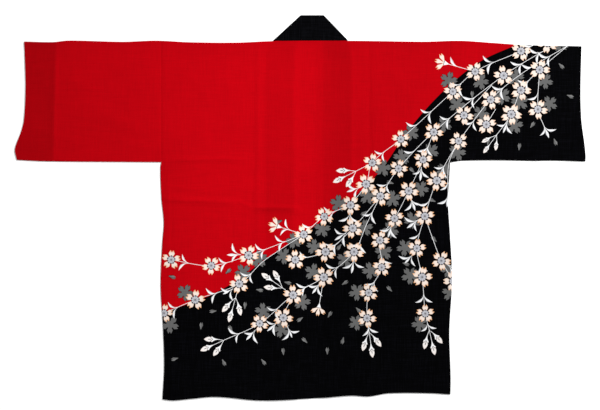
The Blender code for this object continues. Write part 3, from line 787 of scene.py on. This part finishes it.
def paint_layers(corners, layout):
    """For each layer of the print, a place in a motif for every corner of every cell.

    A cell takes the nearest motif that reaches it. What it stores is where its corners lie in
    that motif's own measure, so the material can draw the motif sharply on coarse cells.
    """
    middles = corners.mean(axis=1)
    painted = {}
    for name in LAYERS:
        stored = np.full((*corners.shape[:2], 3), FAR)
        least = np.full(len(corners), CLOTH_CELL)
        for motif in layout.motifs[name]:
            centre = np.array((motif.x, motif.drop))
            cells = np.nonzero(np.hypot(*(middles - centre).T) < MOTIF_REACH * motif.size)[0]
            if not len(cells):
                continue
            gaps = middles[cells][:, None] - spine_places(motif)[None]
            distance = np.hypot(gaps[..., 0], gaps[..., 1]).min(axis=1) - motif.girth * motif.size
            closer = distance < least[cells]
            cells = cells[closer]
            least[cells] = distance[closer]
            x, y = turned(-motif.angle, *np.moveaxis(corners[cells] - centre, -1, 0))
            stored[cells, :, 0], stored[cells, :, 1] = x / motif.size, y / motif.size
            stored[cells, :, 2] = motif.code
        for line in layout.lines.get(name, ()):
            for first, second in zip(line, line[1:]):
                length = math.hypot(*(second - first))
                along = (second - first) / length
                across = np.array((-along[1], along[0]))
                cells = np.nonzero(np.hypot(*(middles - first).T) < length + 2 * CLOTH_CELL)[0]
                far, aside = (middles[cells] - first) @ along, abs((middles[cells] - first) @ across)
                closer = (far > -STEM_OVERLAP) & (far <= length + STEM_OVERLAP) & (aside < least[cells])
                cells = cells[closer]
                least[cells] = aside[closer]
                stored[cells, :, 0] = (corners[cells] - first) @ across
        painted[name] = stored
    return painted


# Cloth pieces


def sheet_object(name, grid, closed, thickness, layout):
    """A sheet of cloth on a grid of points, with the print's places, given its thickness."""
    rows, columns = grid.shape[:2]
    index = np.arange(rows * columns).reshape(rows, columns)
    right = np.roll(index, -1, axis=1) if closed else index[:, 1:]
    here = index if closed else index[:, :-1]
    faces = np.stack((here[:-1], here[1:], right[1:], right[:-1]), axis=-1).reshape(-1, 4)
    points = grid.reshape(-1, 3)
    mesh = bpy.data.meshes.new(name)
    mesh.from_pydata(points, [], faces)
    x, drop = points[:, 0], LAID_MIDDLE - points[:, 1]
    # Painted light and shade, kept on the points
    store(mesh, "painted_shading", "POINT", cloth_painted_shading(x, drop))
    if layout is not None:
        store(mesh, "ground", "POINT", ground_distance(x, drop))
        for layer, places in paint_layers(np.stack((x, drop), axis=-1)[faces], layout).items():
            store(mesh, layer, "CORNER", places)
    piece = bpy.data.objects.new(name, mesh)
    bpy.context.collection.objects.link(piece)
    bpy.ops.object.select_all(action="DESELECT")
    piece.select_set(True)
    bpy.context.view_layer.objects.active = piece
    thicken = piece.modifiers.new("Thickness", "SOLIDIFY")
    thicken.thickness = thickness
    thicken.offset = 0.0
    bpy.ops.object.modifier_apply(modifier=thicken.name)
    bpy.ops.object.shade_smooth_by_angle(angle=math.radians(50))
    return piece


def store(mesh, name, domain, values):
    """Store a number for every point of the cloth, or a place for every corner of its cells."""
    kind, label = ("FLOAT", "value") if domain == "POINT" else ("FLOAT_VECTOR", "vector")
    attribute = mesh.attributes.new(name, kind, domain)
    attribute.data.foreach_set(label, values.astype(np.float32).ravel())


def ground_distance(x, drop):
    """Distance below the boundary between red and black, above zero on the black side."""
    step = 0.004
    slope = (on_curve(GROUND_EDGE, x + step) - on_curve(GROUND_EDGE, x - step)) / (2 * step)
    return (drop - on_curve(GROUND_EDGE, x)) / np.hypot(1.0, slope)


def cloth_painted_shading(x, drop):
    """Painted light and shade on the cloth: darker to the left, over the collar's front strips, at the
    shoulder line, the side seams and the left cuff's hem, and in the painted stretches.
    """
    painted_shading = on_curve(PAINTED_LIGHT_ACROSS, x) - sum(crease_height(shade, x, drop) for shade in PAINTED_SHADE_AND_LIGHT)
    for strip, darker, start in STRIP_SHADES:
        inside = soft_step(in_strip(strip, x, drop) / STRIP_FADE + start)
        painted_shading = painted_shading - darker * inside * in_body(x)
    below_shoulder = np.maximum(drop - on_curve(SHOULDER_LINE, x), 0.0)
    painted_shading = painted_shading - SHOULDER_SHADE * np.exp(-below_shoulder / SHOULDER_FADE)
    # Painted shade beside the side seams of the body
    beside = np.exp(-np.maximum(from_side(x, drop), 0.0) / SIDE_FADE)
    painted_shading = painted_shading - SIDE_SHADE * beside * (drop > SLEEVE_DROP) * in_body(x)
    return painted_shading - CUFF_SHADE * soft_step((cuff_hem(drop) - x) / CUFF_FADE + 0.5) * (x < LEFT_SEAM)


def cuff_hem(drop):
    """X of the upper end of the left cuff's hem, which is straight."""
    return mix(CUFF_HEM_TOP, CUFF_HEM_BOTTOM, drop / SLEEVE_DROP)


# Materials


def sign(operation, swapped=False):
    """One sign of arithmetic: a math node between a value and another value or a number."""

    def work_out(one, other):
        first, second = (other, one) if swapped else (one, other)
        return one.graph.calc(operation, first, second)

    return work_out


class Value:
    """What a socket gives, with the signs of arithmetic. & keeps the smaller and | the larger."""

    __add__ = __radd__ = sign("ADD")
    __mul__ = __rmul__ = sign("MULTIPLY")
    __sub__, __rsub__ = sign("SUBTRACT"), sign("SUBTRACT", swapped=True)
    __and__, __or__, __mod__ = sign("MINIMUM"), sign("MAXIMUM"), sign("MODULO")
    __gt__, __lt__ = sign("GREATER_THAN"), sign("LESS_THAN")

    def __init__(self, graph, socket):
        self.graph, self.socket = graph, socket

    def __abs__(self):
        return self.graph.calc("ABSOLUTE", self)


class Graph:
    """A short way to add nodes to a tree, with values, numbers or colours as their inputs."""

    def __init__(self, tree):
        self.tree = tree

    def fill(self, node, inputs):
        for name, given in inputs.items():
            socket = node.inputs[name]
            if isinstance(given, Value):
                self.tree.links.new(given.socket, socket)
            else:
                socket.default_value = (*given, 1.0) if socket.type == "RGBA" else given

    def node(self, kind, inputs=(), **settings):
        node = self.tree.nodes.new(kind)
        for name, setting in settings.items():
            setattr(node, name, setting)
        self.fill(node, dict(inputs))
        return node

    def value(self, kind, inputs=(), output=0, **settings):
        return Value(self, self.node(kind, inputs, **settings).outputs[output])

    def surface(self, inputs):
        self.fill(self.tree.nodes["Principled BSDF"], inputs)

    def calc(self, operation, *values):
        return self.value("ShaderNodeMath", enumerate(values), operation=operation)

    def reach(self, x, y):
        return self.calc("SQRT", x * x + y * y)

    def parts(self, vector):
        return [Value(self, socket) for socket in self.node("ShaderNodeSeparateXYZ", {0: vector}).outputs]

    def step(self, value, low, high):
        """Rise smoothly from 0 at low to 1 at high, or fall where low is the larger."""
        inputs = {"Value": value, "From Min": low, "From Max": high}
        return self.value("ShaderNodeMapRange", inputs, interpolation_type="SMOOTHSTEP")

    def blend(self, part, start, end):
        return self.value("ShaderNodeMix", {0: part, 6: start, 7: end}, 2, data_type="RGBA")

    def profile(self, value, *points):
        """A drawn curve from value to value, both from 0 to 1."""
        node = self.node("ShaderNodeFloatCurve", {"Value": value})
        curve = node.mapping.curves[0]
        curve.points[0].location, curve.points[1].location = points[0], points[-1]
        for x, y in points[1:-1]:
            curve.points.new(x, y)
        node.mapping.update()
        return Value(self, node.outputs[0])

    def stored(self, name, output="Fac"):
        return self.value("ShaderNodeAttribute", output=output, attribute_name=name)

    def noise(self, scale, detail=2.0, stretch=(1.0, 1.0, 1.0)):
        """Cloudy unevenness from 0 to 1, drawn out along an axis where stretch is small."""
        here = self.value("ShaderNodeTexCoord", output="Object")
        along = self.value("ShaderNodeVectorMath", {0: here, 1: stretch}, operation="MULTIPLY")
        return self.value("ShaderNodeTexNoise", {"Vector": along, "Scale": scale, "Detail": detail})

    def wave(self, direction, scale, distortion=0.0):
        here = self.value("ShaderNodeTexCoord", output="Object")
        inputs = {"Vector": here, "Scale": scale, "Distortion": distortion, "Detail": 1.0}
        return self.value("ShaderNodeTexWave", inputs, 1, bands_direction=direction)

    def bump(self, height, strength, distance):
        inputs = {"Height": height, "Strength": strength, "Distance": distance}
        return self.value("ShaderNodeBump", inputs)


def new_group(name, inputs, outputs):
    """The graph of a new node group, and the values that come into it."""
    tree = bpy.data.node_groups.new(name, "ShaderNodeTree")
    for direction, sockets in (("INPUT", inputs), ("OUTPUT", outputs)):
        for label, kind in sockets.items():
            tree.interface.new_socket(label, in_out=direction, socket_type=f"NodeSocket{kind}")
    g = Graph(tree)
    return g, [Value(g, socket) for socket in g.node("NodeGroupInput").outputs[:len(inputs)]]


def new_material(name):
    material = bpy.data.materials.new(name)
    material.use_nodes = True
    return material, Graph(material.node_tree)


def scaled(colour, share):
    return [share * channel for channel in colour]


def petals(g, reach, turn, wide):
    """Five notched petals, one in each fifth of a turn: how far inside them, and how far out."""
    petal_turn = g.calc("WRAP", turn, PETAL_TURN, -PETAL_TURN)
    along = reach * g.calc("COSINE", petal_turn)
    aside = abs(reach * g.calc("SINE", petal_turn))
    width = g.profile(along, (0, 0.11), (0.28, 0.14), (0.42, 0.205), (0.57, 0.285), (0.70, 0.32),
                      (0.84, 0.29), (1, 0.22))
    tip = g.profile(aside * 2.0, (0, 0.78), (0.13, 0.88), (0.28, 1.0), (0.38, 0.94), (0.50, 0.82),
                    (0.64, 0.66), (1, 0.3))
    return (width + g.step(along, 0.15, 0.55) * wide - aside) & (tip - along), along


def middle_marks(g, reach, turn):
    """Rays, a ring of dots and an eye in the middle of a blossom."""
    ray_gap = 2 * math.pi / 10
    off_ray = abs(reach * g.calc("SINE", turn * (math.pi / ray_gap)))
    ray = g.step(off_ray, 0.10, 0.03) * 0.75 * g.step(reach, 0.36, 0.30)
    dot_turn = g.calc("WRAP", turn, ray_gap / 2, -ray_gap / 2)
    off_dot = g.reach(reach * g.calc("COSINE", dot_turn) - 0.40, reach * g.calc("SINE", dot_turn))
    ring = g.step(abs(reach - 0.40), 0.050, 0.015)
    return ray | g.step(off_dot, 0.095, 0.055) | ring * 0.75 | g.step(reach, 0.16, 0.04) * 0.7


def cup_marks(g, left_right, y, is_bud, is_half):
    """Dark marks where a bud or a half open blossom leaves its cup."""
    slant = abs(y - 0.34 - left_right * 1.3)
    mark = g.step(slant, 0.05, 0.02) * g.step(left_right, 0.15, 0.11)
    cleft = g.step(left_right, 0.04, 0.012) * g.step(y, 0.72, 0.66) * g.step(y, 0.46, 0.50)
    rim = g.step(abs(y - 0.09), 0.045, 0.015) * g.step(left_right, 0.24, 0.18)
    return (mark | cleft) * is_bud * 0.9 | rim * is_half


def bloom_group(colours):
    """Draws a blossom, a bud, a half open blossom or a loose petal at a stored place."""
    g, (spot, wide) = new_group("Bloom", {"Place": "Vector", "Wide": "Float"},
                                {"Inside": "Float", "Colour": "Color", "Lit": "Float"})
    x, y, code = g.parts(spot)
    is_open, is_single = code < CLOSED - 0.5, code > SINGLE - 0.5
    is_half, is_bud = g.calc("COMPARE", code, HALF + 0.5, 0.8), g.calc("COMPARE", code, CLOSED + 0.7, 0.5)
    not_bud = 1.0 - is_bud
    x = x * (is_single * 0.35 + 1.0)
    left_right, reach = abs(x), g.reach(x, y)
    turn = g.calc("ARCTAN2", x, y) * (is_half * 0.5 + 1.0)

    # A flower has all of its petals or the upper ones alone, with a disc or a cup
    petal, along = petals(g, reach, turn, wide)
    limit = is_open * 40.0 + is_half * (3 * PETAL_TURN) + is_single * PETAL_TURN
    petal = petal & (limit - abs(turn)) * reach
    disc = is_open * 1.42 - (reach + 1.0)
    cup = ((y * 0.45 + 0.20 - left_right) & (0.10 - y)) - (1.0 - is_half)
    bud_width = g.profile(y, (0, 0.03), (0.15, 0.06), (0.30, 0.13), (0.42, 0.20), (0.47, 0.16),
                          (0.62, 0.18), (0.80, 0.135), (0.93, 0.06), (1, 0.0))
    bud = (bud_width - left_right) & (y + 0.02)
    inside = (petal | disc | cup) * not_bud + bud * is_bud

    # Cream petals with golden tips and edges, pale cups and buds, and dark lines
    flower_tip = g.step(along, 0.66, 1.0) | g.step(petal, 0.05, 0.0) * 0.7
    bud_tip = g.step(y, 0.66, 1.05) * 0.6
    golden = (flower_tip * not_bud + bud_tip * is_bud) * (code % 2.0)
    calyx = is_bud * g.step(y, 0.48, 0.36) | is_half * g.step(y, 0.10, 0.04) | is_bud * 0.6
    colour = g.blend(calyx, g.blend(golden, colours.petal, colours.tip), colours.leaf)
    colour = g.blend(is_open * g.step(reach, 0.41, 0.37), colour, colours.middle)
    pen = is_open * middle_marks(g, reach, turn) | cup_marks(g, left_right, y, is_bud, is_half)
    colour = g.blend(pen, colour, colours.pen)
    g.node("NodeGroupOutput", {0: inside, 1: colour, 2: is_single * g.step(x, -0.04, 0.06)})
    return g.tree


def leaf_group(colours):
    """Draws a curved leaf at a stored place: along, across and how far it bends."""
    g, (spot,) = new_group("Leaf", {"Place": "Vector"}, {"Inside": "Float", "Colour": "Color"})
    along, across, bend = g.parts(spot)
    middle = across - along * (1.0 - along) * 4.0 * bend
    width = g.profile(along, (0, 0.016), (0.26, 0.020), (0.47, 0.060), (0.66, 0.092), (0.84, 0.058),
                      (1, 0.0))
    inside = width - abs(middle) - (1.0 - (along > -0.02) * (along < 1.0))
    colour = g.blend(g.step(middle, 0.0, 0.05) * 0.6, colours.leaf, colours.shade)
    g.node("NodeGroupOutput", {0: inside, 1: colour})
    return g.tree


def print_colour(g, colours, threads):
    """Colour of the printed cloth: the two grounds, then each layer of the print on it."""
    black = g.blend(g.step(threads, 0.45, 0.65), colours.black, scaled(colours.black, 3.5))
    colour = g.blend(g.step(g.stored("ground"), -0.00035, 0.00035), colours.red, black)
    bloom, leaf = bloom_group(colours), leaf_group(colours)
    for name in LAYERS:
        spot = g.stored(name, "Vector")
        if name in STEMS:
            shown = g.step(abs(g.parts(spot)[0]), STEM * 1.15, STEM * 0.75)
            colour = g.blend(shown, colour, colours.leaf)
            continue
        drawn = g.node("ShaderNodeGroup", {0: spot}, node_tree=leaf if name in LEAVES else bloom)
        inside, own = Value(g, drawn.outputs[0]), Value(g, drawn.outputs[1])
        if name in SHADOWS:
            g.fill(drawn, {"Wide": SHADOW_WIDER})
            colour = g.blend(g.step(inside, -0.075, -0.045), colour, colours.black)
            own = g.blend(Value(g, drawn.outputs[2]), colours.shadow, scaled(colours.shadow, 1.5))
        colour = g.blend(g.step(inside, -0.012, 0.012), colour, own)
    # The stored painted light and shade, times the cloth's own cloudy unevenness and its threads
    bright = g.stored("painted_shading") * (g.noise(9.0, 3.0) * 0.10 + threads * 0.44 + 0.73)
    return g.value("ShaderNodeVectorMath", {0: colour, "Scale": bright}, operation="SCALE")


def cloth_material(name, printed):
    """Cotton cloth with its weave, with the print or in the plain black of the collar."""
    if name in bpy.data.materials:
        return bpy.data.materials[name]
    colours = bpy.context.scene.coat_colours
    material, g = new_material(name)
    slub = g.noise(160.0, 3.0)
    # Thicker and thinner threads that run both ways through the cloth
    threads = (g.noise(700.0, 1.0, (1.0, 0.035, 1.0)) + g.noise(700.0, 1.0, (0.035, 1.0, 1.0))) * 0.5
    if printed:
        colour = print_colour(g, colours, threads)
    else:
        colour = g.blend(g.step(threads, 0.42, 0.62), colours.collar, scaled(colours.collar, 4.0))
    # Two threads to a wave, and a wave texture of scale 1 has 20 waves in 2 pi metres
    pitch = 2 * math.pi / 20 / (2 * bpy.context.scene.coat_sizes.weave)
    weave = g.wave("X", pitch, 0.6) | g.wave("Y", pitch, 0.6)
    g.surface({
        "Base Color": colour,
        "Normal": g.bump(weave + (slub * 1.5 + threads * 3.0), 0.5, 0.00018),
        "Roughness": slub * 0.14 + 0.78,
        "Specular IOR Level": 0.014,
        "Sheen Weight": 0.004,
        "Sheen Roughness": 0.5,
        "Sheen Tint": (1.0, 0.95, 0.95),
    })
    return material


def thread_material(name, colour):
    """Sewing thread with a fine twist."""
    material, g = new_material(name)
    twist = g.wave("DIAGONAL", 900.0)
    g.surface({
        "Base Color": g.blend(twist, scaled(colour, 0.7), colour),
        "Normal": g.bump(twist, 0.4, 0.0001),
        "Roughness": 0.7,
        "Specular IOR Level": 0.05,
    })
    return material


def floor_material(colour):
    """Pale floor with a faint grain."""
    material, g = new_material("pale_floor")
    grain = g.blend(g.noise(60.0), colour, scaled(colour, 0.985))
    g.surface({"Base Color": grain, "Roughness": 0.9, "Specular IOR Level": 0.1})
    return material


# Stitches


def stitch_model():
    """One stitch, modelled along x with its ends sunk in the cloth. Returns its points and faces."""
    sizes = bpy.context.scene.coat_sizes
    bpy.ops.object.select_all(action="DESELECT")
    bpy.ops.mesh.primitive_cylinder_add(
        vertices=6, radius=sizes.thread / 2, depth=sizes.stitch, rotation=(0, math.pi / 2, 0),
    )
    model = bpy.context.object
    bpy.ops.object.transform_apply(location=True, rotation=True, scale=True)
    bpy.ops.object.mode_set(mode="EDIT")
    for part in (-0.3, 0.3):
        bpy.ops.mesh.select_all(action="SELECT")
        bpy.ops.mesh.bisect(plane_co=(part * sizes.stitch, 0, 0), plane_no=(1, 0, 0))
    bpy.ops.object.mode_set(mode="OBJECT")
    for vertex in model.data.vertices:
        vertex.select = abs(vertex.co.x) > 0.4 * sizes.stitch
    bpy.ops.object.mode_set(mode="EDIT")
    bpy.ops.mesh.select_mode(type="VERT")
    bpy.ops.transform.resize(value=(1, 0.7, 0.7))
    bpy.ops.transform.translate(value=(0, 0, -0.75 * sizes.thread))
    bpy.ops.mesh.select_all(action="SELECT")
    bpy.ops.mesh.quads_convert_to_tris()
    bpy.ops.object.mode_set(mode="OBJECT")
    points = np.array([vertex.co[:] for vertex in model.data.vertices])
    faces = np.array([face.vertices[:] for face in model.data.polygons])
    bpy.data.objects.remove(model)
    return points, faces


def unit(ways):
    return ways / np.linalg.norm(ways, axis=-1, keepdims=True)


def outward(grid, closed=False):
    """Outward direction of the cloth at every point of a grid."""
    if closed:
        across = np.roll(grid, -1, axis=1) - np.roll(grid, 1, axis=1)
    else:
        across = np.gradient(grid, axis=1)
    return unit(np.cross(np.gradient(grid, axis=0), across))


def sew(name, line, out, thickness, material):
    """One piece that holds a row of stitches on the face of the cloth, along a line in its middle."""
    sizes = bpy.context.scene.coat_sizes
    points, faces = stitch_model()
    line = line + out * (thickness / 2 + STITCH_LIFT * sizes.thread)
    reach = np.append(0.0, np.cumsum(np.linalg.norm(np.diff(line, axis=0), axis=1)))
    half = sizes.stitch / 2
    at = np.arange(half, reach[-1] - half, STITCH_PITCH * sizes.stitch)

    def along(values, where):
        return np.stack([np.interp(where, reach, values[:, k]) for k in range(3)], axis=1)

    # No stitch bridges a fold
    at = at[(along(out, at - half) * along(out, at + half)).sum(axis=1) > 0.9]
    ahead = unit(along(line, at + half) - along(line, at - half))
    aside = unit(np.cross(along(out, at), ahead))
    axes = np.stack((ahead, aside, np.cross(ahead, aside)), axis=1)
    placed = along(line, at)[:, None] + points @ axes
    numbered = faces + (np.arange(len(at)) * len(points))[:, None, None]
    mesh = bpy.data.meshes.new(name)
    mesh.from_pydata(placed.reshape(-1, 3), [], numbered.reshape(-1, 3))
    mesh.shade_smooth()
    mesh.materials.append(material)
    piece = bpy.data.objects.new(name, mesh)
    bpy.context.collection.objects.link(piece)
    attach(piece, "root")
    return piece


# The pieces


def cuff_ring(seam, cuff_line):
    """The line round a sleeve at the upper end of its cuff's hem, and its outward way."""
    grid = sleeve_grid(seam, cuff_line)
    ring = []
    for column in np.moveaxis(np.concatenate((grid, outward(grid, closed=True)), axis=2), 1, 0):
        hem = cuff_hem(LAID_MIDDLE - column[0, 1])
        if seam > 0:
            hem = RIGHT_HEM_SHIFT - hem
        ring.append([np.interp(hem, column[:, 0], column[:, k]) for k in range(6)])
    ring = np.array(ring + ring[:1])
    return ring[:, :3], ring[:, 3:]


@cache
def print_layout():
    return PrintLayout()


def dress(name, node, grid, closed=False, printed=True):
    """Make a sheet of cloth that stands for a solid."""
    sizes = bpy.context.scene.coat_sizes
    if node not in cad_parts:
        raise RuntimeError(f"the frame has no {node}")
    thickness, layout = (sizes.cloth, print_layout()) if printed else (sizes.band, None)
    piece = sheet_object(name, grid, closed, thickness, layout)
    piece.data.materials.clear()
    piece.data.materials.append(cloth_material("printed_cotton" if printed else "black_cotton", printed))
    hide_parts(node)
    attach(piece, "root")


SIDES = {"left": (-1, LEFT_SEAM, LEFT_CUFF_LINE), "right": (1, RIGHT_SEAM, RIGHT_CUFF_LINE)}


class MakeBack(bpy.types.Operator):
    """Lay the back panel, from the shoulders to the hem"""

    bl_idname = "coat.back"
    bl_label = "Back"

    def execute(self, context):
        dress("back_cloth", "back", panel_grid(-1, 1))
        return {"FINISHED"}


class MakeFronts(bpy.types.Operator):
    """Lay the two front panels, below the back"""

    bl_idname = "coat.fronts"
    bl_label = "Fronts"

    def execute(self, context):
        for word, (side, *_) in SIDES.items():
            dress(f"front_{word}_cloth", f"front_{word}", panel_grid(side))
        return {"FINISHED"}


class MakeSleeves(bpy.types.Operator):
    """Lay the two sleeves, each a tube pressed flat"""

    bl_idname = "coat.sleeves"
    bl_label = "Sleeves"

    def execute(self, context):
        for word, (_, *seam_and_cuff) in SIDES.items():
            dress(f"sleeve_{word}_cloth", f"sleeve_{word}", sleeve_grid(*seam_and_cuff), closed=True)
        return {"FINISHED"}


class MakeCollar(bpy.types.Operator):
    """Lay the collar band, from one hem round the neck to the other"""

    bl_idname = "coat.collar"
    bl_label = "Collar"

    def execute(self, context):
        dress("collar_band", "collar", collar_grid(), printed=False)
        return {"FINISHED"}


class SewCoat(bpy.types.Operator):
    """Sew the rows of stitches at hems, cuffs and collar"""

    bl_idname = "coat.sewing"
    bl_label = "Stitching"

    def execute(self, context):
        sizes, colours = context.scene.coat_sizes, context.scene.coat_colours
        red = thread_material("red_thread", colours.red_thread)
        black = thread_material("black_thread", colours.black_thread)
        # On the underside the stitches sit a little deeper in the cloth, clear of the floor
        sunk = sizes.thread / 3

        grid = panel_grid(-1, 1)
        row = -1 - round(sizes.hem / CLOTH_CELL)
        hem = sew("hem_stitches_back", grid[row], outward(grid)[row], sizes.cloth, black)
        self.declare("back_cloth", "back", "laid", ["front_left_cloth"], [hem])

        row = -1 - round(sizes.hem / UNDER_CELL)
        for word, (side, *_) in SIDES.items():
            grid = panel_grid(side)
            hem = sew(f"hem_stitches_{word}", grid[row], -outward(grid)[row],
                      sizes.cloth - 2 * sunk, black)
            self.declare(f"front_{word}_cloth", f"front_{word}", "laid", ["floor"], [hem])

        for word, (side, *seam_and_cuff) in SIDES.items():
            ring, out = cuff_ring(*seam_and_cuff)
            ring[ring[:, 2] < LOWER_LAYER + 1e-5, 2] += sunk
            cuff = sew(f"cuff_stitches_{word}", ring, out, sizes.cloth, red if side < 0 else black)
            self.declare(f"sleeve_{word}_cloth", f"sleeve_{word}", "folded", ["floor"], [cuff])

        grid = collar_grid()
        edge = sew("collar_stitches", grid[:, 1], outward(grid)[:, 1], sizes.band - sunk, black)
        self.declare("collar_band", "collar", "folded", ["floor"], [edge])
        return {"FINISHED"}

    def declare(self, name, node, held, below, along):
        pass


class SetStage(bpy.types.Operator):
    """Set the pale floor, the soft light and the camera straight above the coat"""

    bl_idname = "coat.stage"
    bl_label = "Stage"

    def execute(self, context):
        scene, stage = context.scene, context.scene.coat_stage
        bpy.ops.object.select_all(action="DESELECT")
        bpy.ops.mesh.primitive_plane_add(size=FLOOR_WIDTH, location=(0, 0, FLOOR_HEIGHT))
        floor = context.object
        floor.name = "floor"
        bpy.ops.object.transform_apply(location=True)
        floor.data.materials.append(floor_material(stage.floor))

        scene.world = scene.world or bpy.data.worlds.new("Studio")
        scene.world.use_nodes = True
        backdrop = scene.world.node_tree.nodes["Background"]
        backdrop.inputs["Color"].default_value = (1.0, 1.0, 1.0, 1.0)
        backdrop.inputs["Strength"].default_value = stage.ambient
        bpy.ops.object.light_add(type="AREA", location=LAMP_PLACE, radius=LAMP_RADIUS)
        key = context.object
        key.rotation_euler = (-key.location).to_track_quat("-Z", "Y").to_euler()
        key.data.energy = stage.key

        height = stage.lens * stage.frame_width / FILM_WIDTH
        bpy.ops.object.camera_add(location=(*CAMERA_PLACE, height), rotation=(0, 0, 0))
        camera = context.object
        camera.data.sensor_width = FILM_WIDTH
        camera.data.lens = stage.lens
        scene.camera = camera
        scene.view_settings.view_transform = "Standard"
        return {"FINISHED"}


class CoatPanel(bpy.types.Panel):
    """Sidebar panel with the coat's pieces and settings"""

    bl_idname = "VIEW3D_PT_happi_coat"
    bl_label = "Happi Coat"
    bl_space_type = "VIEW_3D"
    bl_region_type = "UI"
    bl_category = "Happi Coat"

    def draw(self, context):
        scene = context.scene
        for operator in OPERATORS:
            self.layout.operator(operator.bl_idname)
        for group in (scene.coat_sizes, scene.coat_colours, scene.coat_stage):
            box = self.layout.box()
            for name in group.bl_rna.properties.keys():
                if name not in {"rna_type", "name"}:
                    box.prop(group, name)


GROUPS = {"coat_sizes": CoatSizes, "coat_colours": CoatColours, "coat_stage": CoatStage}
OPERATORS = (MakeBack, MakeFronts, MakeSleeves, MakeCollar, SewCoat, SetStage)


def register():
    for group in (*GROUPS.values(), *OPERATORS, CoatPanel):
        bpy.utils.register_class(group)
    for name, group in GROUPS.items():
        setattr(bpy.types.Scene, name, bpy.props.PointerProperty(type=group))


def unregister():
    for name in GROUPS:
        delattr(bpy.types.Scene, name)
    for group in (CoatPanel, *OPERATORS[::-1], *GROUPS.values()):
        bpy.utils.unregister_class(group)


def main():
    register()
    bpy.ops.coat.back()
    bpy.ops.coat.fronts()
    bpy.ops.coat.sleeves()
    bpy.ops.coat.collar()
    bpy.ops.coat.sewing()
    bpy.ops.coat.stage()


if __name__ == "__main__":
    main()
